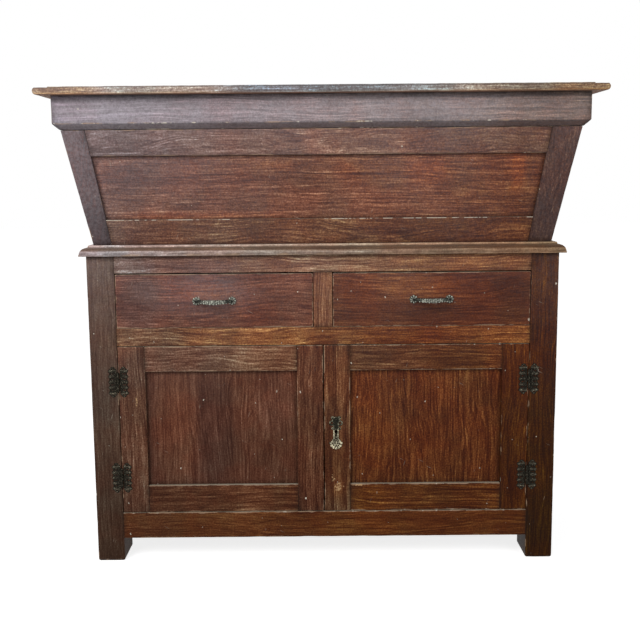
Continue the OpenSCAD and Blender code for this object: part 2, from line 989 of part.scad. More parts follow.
module lid_battens() {
    color(wood_inside)
        for (x = [-lid_hinge_x, 0, lid_hinge_x])
            block(x - batten_w / 2, x + batten_w / 2,
                front_y - apron_face + apron_t, back_y - apron_t, z_lid - batten_t, z_lid);
}

// section of the moulded edge: 0 is the outermost line, inward is positive
module lid_edge_section(depth) {
    nose_h = lid_t - lid_step;
    nose_r = nose_h * 0.66;
    intersection() {
        translate([nose_r, nose_h / 2])
            circle(r = nose_r);
        square([nose_r + cut, nose_h]);
    }
    translate([nose_r, 0])
        square([depth - nose_r, nose_h]);
    translate([lid_edge, 0])
        square([depth - lid_edge, lid_t]);
}

// two boards glued edge to edge, the front and the ends moulded
module lid_planks() {
    edge_x = half_w + lid_face;
    y0 = front_y - lid_face;
    seam = y0 + lid_front_board;
    color(wood_edge)
        for (span = [[y0 - cut, seam], [seam, back_y]])
            intersection() {
                translate([-edge_x, y0, z_lid])
                    rotate([90, 0, 90])
                        linear_extrude(2 * edge_x)
                            lid_edge_section(back_y - y0);
                translate([0, back_y, z_lid])
                    rotate([90, 0, 0])
                        linear_extrude(back_y - y0 + cut)
                            union() {
                                translate([-edge_x, 0])
                                    lid_edge_section(edge_x);
                                mirror([1, 0])
                                    translate([-edge_x, 0])
                                        lid_edge_section(edge_x);
                            }
                block(-edge_x - cut, edge_x + cut, span[0], span[1], z_lid - cut, z_lid + lid_t + cut);
            }
}

// one leaf of each lid hinge: turn is -1 below the rim and 1 above it
module lid_leaf_plates(turn) {
    for (x = [-lid_hinge_x, lid_hinge_x])
        translate([x - lid_hinge_w / 2, back_y, lid_axis_z])
            mirror([0, 0, turn < 0 ? 1 : 0])
                translate([0, 0, lid_knuckle_r + air])
                    cube([lid_hinge_w, leaf_t, lid_leaf_h - lid_knuckle_r - air]);
}

// knuckles of one leaf with the arm that carries them
module lid_knuckles(turn, from, to) {
    axis_y = back_y + lid_axis_out;
    l = lid_hinge_w / 3;
    for (x = [-lid_hinge_x, lid_hinge_x])
        translate([x - lid_hinge_w / 2 + from * l + knuckle_gap / 2, 0, 0]) {
            translate([0, axis_y, lid_axis_z])
                rotate([0, 90, 0])
                    cylinder(h = (to - from) * l - knuckle_gap, r = lid_knuckle_r);
            translate([0, back_y, lid_axis_z])
                mirror([0, 0, turn < 0 ? 1 : 0])
                    cube([(to - from) * l - knuckle_gap, leaf_t, lid_knuckle_r + 2 * air]);
        }
}

module lid_pins(r) {
    for (x = [-lid_hinge_x, lid_hinge_x])
        translate([x - lid_hinge_w / 2, back_y + lid_axis_out, lid_axis_z])
            rotate([0, 90, 0])
                cylinder(h = lid_hinge_w, r = r);
}

// fixed leaves with the outer knuckles and the pin
module lid_hinge_fixed_leaves() {
    color(iron)
        difference() {
            union() {
                lid_leaf_plates(-1);
                lid_knuckles(-1, 0, 1);
                lid_knuckles(-1, 2, 3);
                lid_pins(pin_r);
            }
            lid_leaf_screws(-1, 0);
            translate([0, leaf_t, 0])
                lid_leaf_screws(-1, 0);
        }
}

module lid_hinge_moving_leaves() {
    color(iron)
        difference() {
            union() {
                lid_leaf_plates(1);
                lid_knuckles(1, 1, 2);
            }
            lid_pins(pin_r + pin_play);
            translate([0, leaf_t, 0])
                lid_leaf_screws(1, 0);
        }
}

module lid_nails() {
    color(iron)
        lid_leaf_screws(1, nail_head_r);
}

// Door hinges

// outline of one leaf on the right of the axis, the axis at 0
module leaf_outline() {
    out = hinge_w / 2;
    square_h = hinge_h - 3.2 * leaf_lobe;
    translate([leaf_x0, -square_h / 2])
        square([out - leaf_x0 - leaf_lobe * 0.55, square_h]);
    for (i = [-2 : 2])
        translate([out - leaf_lobe, i * square_h * 0.225])
            circle(r = leaf_lobe);
    for (side = [-1, 1]) {
        translate([leaf_x0 + leaf_lobe * 1.9, side * (hinge_h / 2 - leaf_lobe * 1.2)])
            circle(r = leaf_lobe * 1.2);
        translate([leaf_x0 + leaf_lobe * 0.8, side * (square_h / 2 - leaf_lobe * 0.2)])
            circle(r = leaf_lobe * 0.8);
    }
}

// knuckles of a leaf on the right of the axis, from and to counted in knuckles
module door_knuckle(from, to) {
    z0 = from * knuckle_l + knuckle_gap / 2;
    h = (to - from) * knuckle_l - knuckle_gap;
    translate([0, 0, z0])
        cylinder(h = h, r = knuckle_r);
    translate([0, knuckle_r + air - leaf_t, z0])
        cube([leaf_x0 + cut, leaf_t, h]);
}

// the leaf nailed to the leg, with the two outer knuckles and the pin
module post_leaf() {
    along_y(knuckle_r + air - leaf_t, knuckle_r + air)
        leaf_outline();
    door_knuckle(-1.5, -0.5);
    door_knuckle(0.5, 1.5);
    translate([0, 0, -1.5 * knuckle_l])
        cylinder(h = 3 * knuckle_l, r = pin_r);
    for (side = [-1, 1])
        translate([0, 0, side * 1.5 * knuckle_l])
            sphere(r = knuckle_r * 0.8);
}

// the leaf nailed to the door, with the middle knuckle
module door_leaf() {
    difference() {
        union() {
            mirror([1, 0, 0])
                along_y(knuckle_r + air - leaf_t, knuckle_r + air)
                    leaf_outline();
            mirror([1, 0, 0])
                door_knuckle(-0.5, 0.5);
        }
        translate([0, 0, -knuckle_l])
            cylinder(h = 2 * knuckle_l, r = pin_r + pin_play);
    }
}

module post_hinge_leaves() {
    color(iron)
        both_sides()
            difference() {
                for (z = hinge_zs)
                    translate([hinge_x, hinge_y, z])
                        post_leaf();
                leaf_nails(1, front_y - leaf_t, 0);
            }
}

module door_hinge_leaves() {
    color(iron)
        difference() {
            for (z = hinge_zs)
                translate([hinge_x, hinge_y, z])
                    door_leaf();
            leaf_nails(-1, front_y - leaf_t, 0);
        }
}

module fixed_nails() {
    color(iron) {
        both_sides()
            difference() {
                leaf_nails(1, front_y - leaf_t, nail_head_r);
                block(0, half_w, front_y + 10, front_y + 20, 0, z_waist);
            }
        lid_leaf_screws(-1, nail_head_r);
        back_board_nails(nail_head_r);
    }
}

// Doors, drawn on the right

module door_rail_tenons(extra) {
    for (span = [[door_z0, door_panel_z0], [door_panel_z1, door_z1]])
        block(door_in0 - door_tenon_l - extra, door_in1 + door_tenon_l + extra,
            door_groove_y0, door_groove_y1, span[0] + tenon_shoulder, span[1] - tenon_shoulder);
}

module door_panel_blank(reach) {
    block(door_in0 - reach, door_in1 + reach, door_groove_y0, door_groove_y1,
        door_panel_z0 - reach, door_panel_z1 + reach);
}

module door_stile(x0, x1) {
    difference() {
        block(x0, x1, front_y, front_y + door_t, door_z0, door_z1);
        door_rail_tenons(end_room);
        door_panel_blank(groove_in + end_room);
    }
}

module door_hinge_stile() {
    difference() {
        door_stile(door_in1, door_x1);
        leaf_nails(-1, front_y, 0);
    }
}

module door_rails() {
    difference() {
        union() {
            for (span = [[door_z0, door_panel_z0], [door_panel_z1, door_z1]])
                block(door_in0, door_in1, front_y, front_y + door_t, span[0], span[1]);
            door_rail_tenons(0);
        }
        door_panel_blank(groove_in + end_room);
        block(door_in0 - door_tenon_l, door_in1 + door_tenon_l, front_y, front_y + door_t,
            door_panel_z0, door_panel_z1);
    }
}

module door_nails() {
    difference() {
        leaf_nails(-1, front_y - leaf_t, nail_head_r);
        block(0, half_w, front_y + 10, front_y + 20, 0, z_waist);
    }
}

// the keyhole: a round eye with a slot under it
module keyhole(r) {
    circle(r = r);
    translate([-r * 0.5, -r * 3])
        square([r, r * 3]);
}

module left_door_hinge_stile() {
    color(wood_body)
        mirror([1, 0, 0])
            door_hinge_stile();
}

module left_door_lock_stile() {
    color(wood_body)
        mirror([1, 0, 0])
            door_stile(door_x0, door_in0);
}

module left_door_rails() {
    color(wood_light)
        mirror([1, 0, 0])
            door_rails();
}

module left_door_panel() {
    color(wood_panel)
        mirror([1, 0, 0])
            door_panel_blank(groove_in);
}

module left_door_hinge_leaves() {
    mirror([1, 0, 0])
        door_hinge_leaves();
}

module left_door_nails() {
    color(iron)
        mirror([1, 0, 0])
            door_nails();
}

// the flat slide bolt on the back of the left door, grown by extra and
// lengthened upwards by up
module slide_bolt(extra, up) {
    block(slide_x0 - extra, slide_x1 + extra, slide_y0 - extra, slide_y1 + extra,
        slide_z0, slide_z1 + up);
}

module left_door_bolt() {
    knob_r = 3;
    color(iron) {
        slide_bolt(0, 0);
        translate([(slide_x0 + slide_x1) / 2, slide_y1 - cut, slide_z0 + 2 * knob_r])
            rotate([-90, 0, 0])
                cylinder(h = 4 * knob_r, r = knob_r);
    }
}

// the plate and straps that guide the slide bolt, and the keeper for the lock
module left_door_keeper() {
    plate_x0 = slide_x0 - 7;
    plate_x1 = slide_x1 + 7;
    strap_h = 8;
    keeper_wall = 2.5;
    keeper_x0 = -door_x0 - 16;
    keeper_x1 = -door_x0 - 2;
    color(iron) {
        block(plate_x0, plate_x1, case_y0, slide_y0 - bolt_play, slide_z0 - strap_h, slide_z1 - 2);
        difference() {
            for (z = [slide_z1 - strap_h - 2, slide_z1 - 4 * strap_h])
                block(plate_x0, plate_x1, case_y0, slide_y1 + 2, z, z + strap_h);
            slide_bolt(bolt_play, slide_up);
        }
        difference() {
            block(keeper_x0, keeper_x1, case_y0, bolt_y1 + keeper_wall,
                bolt_z0 - keeper_wall, bolt_z1 + keeper_wall);
            block(keeper_x0 + keeper_wall, keeper_x1 + cut,
                bolt_y0 - bolt_play, bolt_y1 + bolt_play, bolt_z0 - bolt_play, bolt_z1 + bolt_play);
        }
    }
}

module right_door_hinge_stile() {
    color(wood_light)
        door_hinge_stile();
}

module right_door_lock_stile() {
    color(wood_light)
        difference() {
            door_stile(door_x0, door_in0);
            along_y(front_y - cut, front_y + door_t + cut)
                translate([door_x0 + key_x, key_z])
                    keyhole(key_r);
            plate_pins(0);
        }
}

module right_door_rails() {
    color(wood_light)
        door_rails();
}

module right_door_panel() {
    color(wood_panel)
        door_panel_blank(groove_in);
}

module right_door_hinge_leaves() {
    door_hinge_leaves();
}

module right_door_nails() {
    color(iron) {
        door_nails();
        plate_pins(nail_head_r * 0.8);
    }
}

// the two pins of the keyhole plate
module plate_pins(head_r) {
    front = head_r > 0 ? leaf_t : 0;
    for (z = [plate_up - plate_lobe_r * 2.6, plate_lobe_r * 9 - plate_down])
        translate([door_x0 + key_x, front_y - front, key_z + z])
            nail(8 + front, nail_r, head_r);
}

// outline of the keyhole plate round the keyhole: a lobed head, a narrow
// waist and a fan-shaped foot with scallops
module plate_outline() {
    foot_r = plate_w / 2 - plate_lobe_r;
    head_r = plate_w * 0.28;
    foot_z = plate_w / 2 - plate_down;
    head_z = plate_up - head_r - 1;
    translate([-plate_w / 4, foot_z])
        square([plate_w / 2, head_z - foot_z]);
    translate([0, head_z])
        circle(r = head_r);
    for (side = [-1, 1]) {
        translate([side * head_r, head_z - head_r * 0.6])
            circle(r = head_r * 0.67);
        translate([side * head_r * 0.8, plate_up - head_r * 0.45])
            circle(r = head_r * 0.45);
        translate([side * head_r, head_r * 0.75])
            circle(r = plate_lobe_r);
    }
    translate([0, foot_z])
        circle(r = foot_r);
    for (a = [180 : 30 : 360])
        translate([foot_r * cos(a), foot_z + foot_r * sin(a)])
            circle(r = plate_lobe_r);
}

// holes pierced through the keyhole plate, the keyhole among them
module plate_holes() {
    foot_r = plate_w / 2 - plate_lobe_r;
    head_r = plate_w * 0.28;
    foot_z = plate_w / 2 - plate_down;
    keyhole(key_r);
    for (a = [195 : 30 : 345])
        translate([foot_r * 0.7 * cos(a), foot_z + foot_r * 0.7 * sin(a)])
            circle(r = plate_lobe_r * 0.56);
    for (side = [-1, 1])
        translate([side * head_r, plate_up - head_r * 1.7])
            circle(r = plate_lobe_r * 0.66);
}

// cast and pierced plate round the keyhole
module keyhole_plate() {
    color(old_brass)
        difference() {
            along_y(front_y - leaf_t, front_y)
                translate([door_x0 + key_x, key_z])
                    difference() {
                        plate_outline();
                        plate_holes();
                    }
            plate_pins(0);
            translate([0, -leaf_t, 0])
                plate_pins(0);
        }
}

// sheet iron case on the back of the right door
module lock_case() {
    z0 = key_z - case_h / 2;
    z1 = key_z + case_h / 2;
    color(iron)
        difference() {
            block(case_x0, case_x1, case_y0, case_y1, z0, z1);
            block(case_x0 + case_wall, case_x1 - case_wall, case_y0 - cut, case_y1 - case_wall,
                z0 + case_wall, z1 - case_wall);
            block(case_x0 - cut, case_x0 + 2 * case_wall, bolt_y0 - bolt_play, bolt_y1 + bolt_play,
                bolt_z0 - bolt_play, bolt_z1 + bolt_play);
        }
}

// the bolt, notched over the keyhole where the key throws it
module lock_bolt() {
    notch = 4;
    color(iron)
        difference() {
            block(case_x0 + bolt_play, case_x1 - 3 * notch, bolt_y0, bolt_y1, bolt_z0, bolt_z1);
            block(door_x0 + key_x - notch, door_x0 + key_x + notch,
                bolt_y0 - cut, bolt_y1 + cut, key_z, bolt_z0 + notch);
        }
}

// Drawers, drawn on the right

// dovetail outlines in Y and Z, from the root line to the end line
module tails(root_y, end_y, z0, z1) {
    pitch = (z1 - z0) / dovetail_n;
    root_half = pitch * 0.28;
    end_half = root_half + abs(end_y - root_y) * dovetail_slope;
    for (i = [0 : dovetail_n - 1])
        translate([0, z0 + pitch * (i + 0.5)])
            polygon([
                [root_y, -root_half], [end_y, -end_half],
                [end_y, end_half], [root_y, root_half]
            ]);
}

module front_tails(x0, x1) {
    along_x(x0, x1)
        tails(front_y + drawer_front_t, front_y + dovetail_lap, drawer_z0, drawer_z0 + drawer_side_h);
}

module back_tails(x0, x1) {
    along_x(x0, x1)
        tails(drawer_end - drawer_back_t, drawer_end, bottom_z1, drawer_back_z1);
}

module drawer_bottom_blank(extra) {
    block(drawer_x0 + drawer_side_t - bottom_in - extra, drawer_x1 - drawer_side_t + bottom_in + extra,
        front_y + drawer_front_t - bottom_in - extra, drawer_end, bottom_z0, bottom_z1);
}

module pull_posts(r, length) {
    for (side = [-1, 1])
        translate([drawer_mid_x + side * pull_pitch / 2, front_y, drawer_mid_z])
            rotate([-90, 0, 0])
                cylinder(h = length, r = r);
}

module drawer_front() {
    difference() {
        block(drawer_x0, drawer_x1, front_y, front_y + drawer_front_t, drawer_z0, drawer_z1);
        front_tails(drawer_x0 - cut, drawer_x0 + drawer_side_t);
        front_tails(drawer_x1 - drawer_side_t, drawer_x1 + cut);
        drawer_bottom_blank(end_room / 2);
        translate([0, -cut, 0])
            pull_posts(post_r, drawer_front_t + 2 * cut);
    }
}

module drawer_sides() {
    for (x0 = [drawer_x0, drawer_x1 - drawer_side_t])
        difference() {
            union() {
                front_tails(x0, x0 + drawer_side_t);
                block(x0, x0 + drawer_side_t, front_y + drawer_front_t, drawer_end - drawer_back_t,
                    drawer_z0, drawer_z0 + drawer_side_h);
                block(x0, x0 + drawer_side_t, drawer_end - drawer_back_t - cut, drawer_end,
                    drawer_z0, bottom_z1);
                back_tails(x0, x0 + drawer_side_t);
            }
            drawer_bottom_blank(end_room / 2);
        }
}

module drawer_back() {
    difference() {
        block(drawer_x0, drawer_x1, drawer_end - drawer_back_t, drawer_end, bottom_z1, drawer_back_z1);
        back_tails(drawer_x0 - cut, drawer_x0 + drawer_side_t);
        back_tails(drawer_x1 - drawer_side_t, drawer_x1 + cut);
    }
}

// front outline of the bow: two arcs, the lower edge scalloped
module bow_outline() {
    reach = pull_pitch / 2;
    up = pull_h * 0.4;
    down = pull_h * 0.55;
    up_r = reach * reach / (2 * up * 0.35);
    down_r = reach * reach / (2 * down * 0.5);
    intersection() {
        translate([0, up - up_r])
            circle(r = up_r, $fn = fine);
        translate([0, down_r - down])
            circle(r = down_r, $fn = fine);
    }
    for (i = [-4 : 4])
        translate([i * reach * 0.2, down_r - down - sqrt(down_r * down_r - pow(i * reach * 0.2, 2))])
            circle(r = reach * 0.05);
}

// cast pull: scalloped rosettes, a bow between them, posts hammered over behind
module drawer_pull() {
    reach = pull_pitch / 2;
    rise = pull_out - 4;
    bow_r = (reach * reach + rise * rise) / (2 * rise);
    translate([drawer_mid_x, front_y, drawer_mid_z])
        intersection() {
            along_z(-pull_h, pull_h)
                intersection() {
                    difference() {
                        translate([0, bow_r - pull_out])
                            circle(r = bow_r, $fn = fine);
                        translate([0, bow_r - pull_out])
                            circle(r = bow_r - pull_t, $fn = fine);
                    }
                    translate([-reach, -pull_out - cut])
                        square([2 * reach, pull_out - 2]);
                }
            along_y(-pull_out - 2 * cut, 0)
                bow_outline();
        }
    for (side = [-1, 1])
        translate([drawer_mid_x + side * reach, front_y, drawer_mid_z]) {
            along_y(-2.5, 0) {
                circle(r = rosette_r * 0.8);
                for (a = [22.5 : 45 : 360])
                    rotate(a)
                        translate([rosette_r * 0.7, 0])
                            circle(r = rosette_r * 0.3);
            }
            rotate([90, 0, 0])
                cylinder(h = pull_post_y, r = rosette_r * 0.38);
            translate([0, -pull_post_y, 0])
                sphere(r = rosette_r * 0.46);
        }
    pull_posts(post_r, drawer_front_t + 2);
    translate([0, drawer_front_t, 0])
        pull_posts(post_r * 1.8, 2);
}

module left_drawer_front() {
    color(wood_panel)
        mirror([1, 0, 0])
            drawer_front();
}

module left_drawer_sides() {
    color(wood_inside)
        mirror([1, 0, 0])
            drawer_sides();
}

module left_drawer_back() {
    color(wood_inside)
        mirror([1, 0, 0])
            drawer_back();
}

module left_drawer_bottom() {
    color(wood_inside)
        mirror([1, 0, 0])
            drawer_bottom_blank(0);
}

module left_drawer_pull() {
    color(pewter)
        mirror([1, 0, 0])
            drawer_pull();
}

module right_drawer_front() {
    color(wood_panel)
        drawer_front();
}

module right_drawer_sides() {
    color(wood_inside)
        drawer_sides();
}

module right_drawer_back() {
    color(wood_inside)
        drawer_back();
}

module right_drawer_bottom() {
    color(wood_inside)
        drawer_bottom_blank(0);
}

module right_drawer_pull() {
    color(pewter)
        drawer_pull();
}

// Drawing

front_leg_left();
front_leg_right();
rear_legs();
bottom_rail();
middle_rail();
top_rail();
drawer_muntin();
side_panels();
carcass_rails();
back_boards();
cupboard_floor();
shelf();
shelf_cleats();
drawer_runners();
waist_moulding();
trough_floor();
trough_stile_left();
trough_stile_right();
trough_lower_rail();
trough_upper_rail();
trough_panel();
trough_ends();
trough_back();
post_hinge_leaves();
lid_hinge_fixed_leaves();
fixed_nails();
lid_planks();
lid_apron_front();
lid_apron_sides();
lid_apron_back();
lid_battens();
lid_hinge_moving_leaves();
lid_nails();
left_door_hinge_stile();
left_door_lock_stile();
left_door_rails();
left_door_panel();
left_door_hinge_leaves();
left_door_nails();
left_door_keeper();
left_door_bolt();
right_door_hinge_stile();
right_door_lock_stile();
right_door_rails();
right_door_panel();
right_door_hinge_leaves();
right_door_nails();
keyhole_plate();
lock_case();
lock_bolt();
left_drawer_front();
left_drawer_sides();
left_drawer_back();
left_drawer_bottom();
left_drawer_pull();
right_drawer_front();
right_drawer_sides();
right_drawer_back();
right_drawer_bottom();
right_drawer_pull();
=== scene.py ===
"""Looks of a bread cupboard: stained boards, cast fittings and a plain studio around the fixed frame."""

import json
import math
import random

import bmesh
import bpy
import numpy as np
from mathutils import Matrix, Vector
from mathutils.bvhtree import BVHTree


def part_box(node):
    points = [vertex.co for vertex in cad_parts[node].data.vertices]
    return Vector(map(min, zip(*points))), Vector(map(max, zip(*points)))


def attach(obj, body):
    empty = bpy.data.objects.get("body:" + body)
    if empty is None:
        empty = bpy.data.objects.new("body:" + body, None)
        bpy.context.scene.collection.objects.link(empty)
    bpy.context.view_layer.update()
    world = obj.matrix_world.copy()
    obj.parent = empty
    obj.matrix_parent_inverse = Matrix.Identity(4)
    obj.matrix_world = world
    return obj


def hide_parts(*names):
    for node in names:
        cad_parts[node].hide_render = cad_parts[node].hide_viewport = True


bl_info = {
    "name": "Bread cupboard",
    "version": (1, 0, 0),
    "blender": (4, 5, 0),
    "location": "View3D > Sidebar > Cupboard",
    "description": "Stained boards, cast fittings and a studio for a flared bread cupboard",
    "category": "Object",
}

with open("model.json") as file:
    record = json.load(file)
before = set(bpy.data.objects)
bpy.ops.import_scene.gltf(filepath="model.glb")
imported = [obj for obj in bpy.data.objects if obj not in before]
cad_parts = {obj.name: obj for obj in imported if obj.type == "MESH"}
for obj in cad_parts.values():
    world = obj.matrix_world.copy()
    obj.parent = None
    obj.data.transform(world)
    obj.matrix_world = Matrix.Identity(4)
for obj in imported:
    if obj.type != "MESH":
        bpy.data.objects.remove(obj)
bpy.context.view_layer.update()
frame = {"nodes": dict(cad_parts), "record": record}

BODIES = frame["record"]["behaviour"]["bodies"]
BODY_OF = {node: body for body, nodes in BODIES.items() for node in nodes}
SLOT_OF = {row["node"]: row["material_slot"] for row in frame["record"]["subparts"]}
MM = 0.001


# Sizes that several pieces share, read from the frame

def low(node, axis):
    """Lowest coordinate of a CAD node along an axis, in metres."""
    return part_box(node)[0][axis]


def high(node, axis):
    """Highest coordinate of a CAD node along an axis, in metres."""
    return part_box(node)[1][axis]


FRONT_Y = low("front_leg_left", 1)
TROUGH_SETBACK = 14 * MM
LEAN = math.atan2(
    FRONT_Y - low("trough_upper_rail", 1) + TROUGH_SETBACK,
    high("trough_upper_rail", 2) - low("trough_stile_left", 2),
)


# Boards: the direction of the grain, the stain relative to its slot, the wear, and what else differs

class Board:
    """How one wooden node is finished: the usual values, of which a node may change some."""

    cuts = ()  # planes that part one CAD solid into its boards, each an axis and a place on it
    fine = True  # False inside the cupboard, where fewer points and marks do
    radius = 1.2  # rounding of the arrises, in mm
    shortest = 3.0  # shortest arris that is rounded, in mm
    pith = None  # how far the pith lies across and through the board, by chance where it isn't given
    chip = 0.35  # depth of the dents along the arrises
    lower = (1, 1, 1)  # stain of the lower one of two rails
    under = 0.55  # painted shade on what looks down, a painted light above 1
    beneath = (1, 1, 1)  # stain of the underside
    bloom = 1.0  # bloom on the wax and a painted sheen
    figure = 1.0  # contrast of the grain
    chalk = 0.15  # paint chipped along the arrises
    dust = 1.0  # dust on what faces up
    warm = 1.0  # how much redder the dark grain is than the light
    sway = 0.35  # how far the grain wanders

    def __init__(self, grain, stain=(1, 1, 1), wear=0.5, **others):
        self.grain = grain
        self.stain = stain
        self.wear = wear
        vars(self).update(others)


SLOPE = ((1, 0, 0), (0, -math.sin(LEAN), math.cos(LEAN)))
BACK_COUNT = 7
BACK_STEP = (high("back_boards", 0) - low("back_boards", 0)) / BACK_COUNT
BACK_CUTS = [(0, low("back_boards", 0) + BACK_STEP * i) for i in range(1, BACK_COUNT)]
LID_FRONT_BOARD = 300 * MM
LID_SEAM = low("lid_planks", 1) + LID_FRONT_BOARD

BOARDS = {
    "front_leg_left": Board("z", (1.38, 1.04, 0.61), 0.45, figure=0.68, sway=0.25),
    "front_leg_right": Board("z", (0.47, 0.36, 0.09), 0.45),
    "rear_legs": Board("z", (1.0, 1.0, 1.0), 0.3),
    "bottom_rail": Board("x", (1.38, 0.92, 0.43), 0.8, chip=0.6, figure=0.8, chalk=0.8),
    "middle_rail": Board("x", (1.67, 1.51, 0.90), 0.35, figure=1.05, sway=0.6, radius=0.7,
                         shortest=13.0),
    "top_rail": Board("x", (1.01, 1.14, 1.12), 0.3, figure=0.95),
    "drawer_muntin": Board("z", (1.04, 1.03, 0.89), 0.35, figure=0.8),
    "side_panels": Board("z", (0.9, 0.9, 0.9), 0.2),
    "carcass_rails": Board("x", (1.1, 1.1, 1.1), 0.4),
    "back_boards": Board("z", (1.3, 1.3, 1.3), 0.3, cuts=BACK_CUTS, radius=1.0),
    "cupboard_floor": Board("x", fine=False),
    "shelf": Board("x", fine=False),
    "shelf_cleats": Board("y", fine=False),
    "drawer_runners": Board("y", fine=False),
    "waist_moulding": Board("x", (0.75, 0.64, 0.51), 0.5, radius=0.7, figure=0.5, chalk=0.3, dust=0.1,
                            warm=0.5, sway=0.1),
    "trough_floor": Board("x", fine=False),
    "trough_stile_left": Board("z", (0.49, 0.16, 0.06), 0.4, figure=0.8),
    "trough_stile_right": Board("z", (0.42, 0.48, 0.72), 0.4),
    "trough_lower_rail": Board(SLOPE, (0.88, 0.88, 0.74), 0.3, figure=1.02, chalk=3.0, bloom=0.6,
                               sway=0.55),
    "trough_upper_rail": Board(SLOPE, (0.59, 0.76, 1.04), 0.6, figure=0.95, bloom=0.8, sway=0.9),
    "trough_panel": Board(SLOPE, (0.96, 1.00, 1.05), 0.2, pith=(0.01, 0.05), figure=0.98, bloom=0.6,
                          sway=0.18),
    "trough_ends": Board("y", (1.2, 1.2, 1.2), 0.4),
    "trough_back": Board("x", (1.3, 1.3, 1.3), 0.3),
    "lid_planks": Board("x", (0.40, 0.52, 0.69), 0.35, cuts=[(1, LID_SEAM)], radius=0.8, chip=0.6, under=1.1,
                        figure=1.15, bloom=0.8, warm=0.8, sway=0.2, dust=0.45, beneath=(2.1, 1.05, 0.56)),
    "lid_apron_front": Board("x", (0.69, 1.46, 3.21), 0.5, figure=0.72, chalk=0.9, under=0.34, bloom=1.25,
                             warm=0.15, sway=0.3),
    "lid_apron_sides": Board("y", (1.2, 1.3, 1.4), 0.5),
    "lid_apron_back": Board("x", (1.1, 1.1, 1.1), 0.4),
    "lid_battens": Board("y", fine=False),
    "left_door_hinge_stile": Board("z", (1.23, 1.15, 0.96), 0.4),
    "left_door_lock_stile": Board("z", (1.11, 0.91, 0.78), 0.5),
    "left_door_rails": Board("x", (0.99, 1.06, 0.99), 0.7, lower=(0.78, 0.52, 0.36), chalk=0.4),
    "left_door_panel": Board("z", (1.06, 0.94, 0.87), 0.2, pith=(0.04, 0.05), figure=0.75, sway=0.6),
    "right_door_hinge_stile": Board("z", (0.47, 0.29, 0.08), 0.5),
    "right_door_lock_stile": Board("z", (0.88, 0.77, 0.58), 0.5),
    "right_door_rails": Board("x", (0.80, 0.68, 0.48), 0.7, lower=(1.02, 0.79, 0.47), chalk=1.0),
    "right_door_panel": Board("z", (1.24, 0.89, 0.49), 0.2, pith=(-0.03, 0.06), figure=1.05, sway=0.6),
    "left_drawer_front": Board("x", (1.04, 0.86, 0.80), 0.6, figure=0.88, sway=0.45),
    "left_drawer_sides": Board("y", radius=0.5),
    "left_drawer_back": Board("x", radius=0.5),
    "left_drawer_bottom": Board("x", fine=False, radius=0.5),
    "right_drawer_front": Board("x", (0.90, 0.68, 0.46), 0.6, figure=0.8, sway=0.45),
    "right_drawer_sides": Board("y", radius=0.5),
    "right_drawer_back": Board("x", radius=0.5),
    "right_drawer_bottom": Board("x", fine=False, radius=0.5),
}

# Painted light and shade over the whole front, lighter up and to the left, as powers of e for each metre to
# the right and each metre up, on red, green and blue
PAINTED_LIGHT_ACROSS = (-0.18, -0.47, -1.06)
PAINTED_LIGHT_UPWARD = (1.24, 0.85, 0.51)
MIDDLE_Z = 0.5

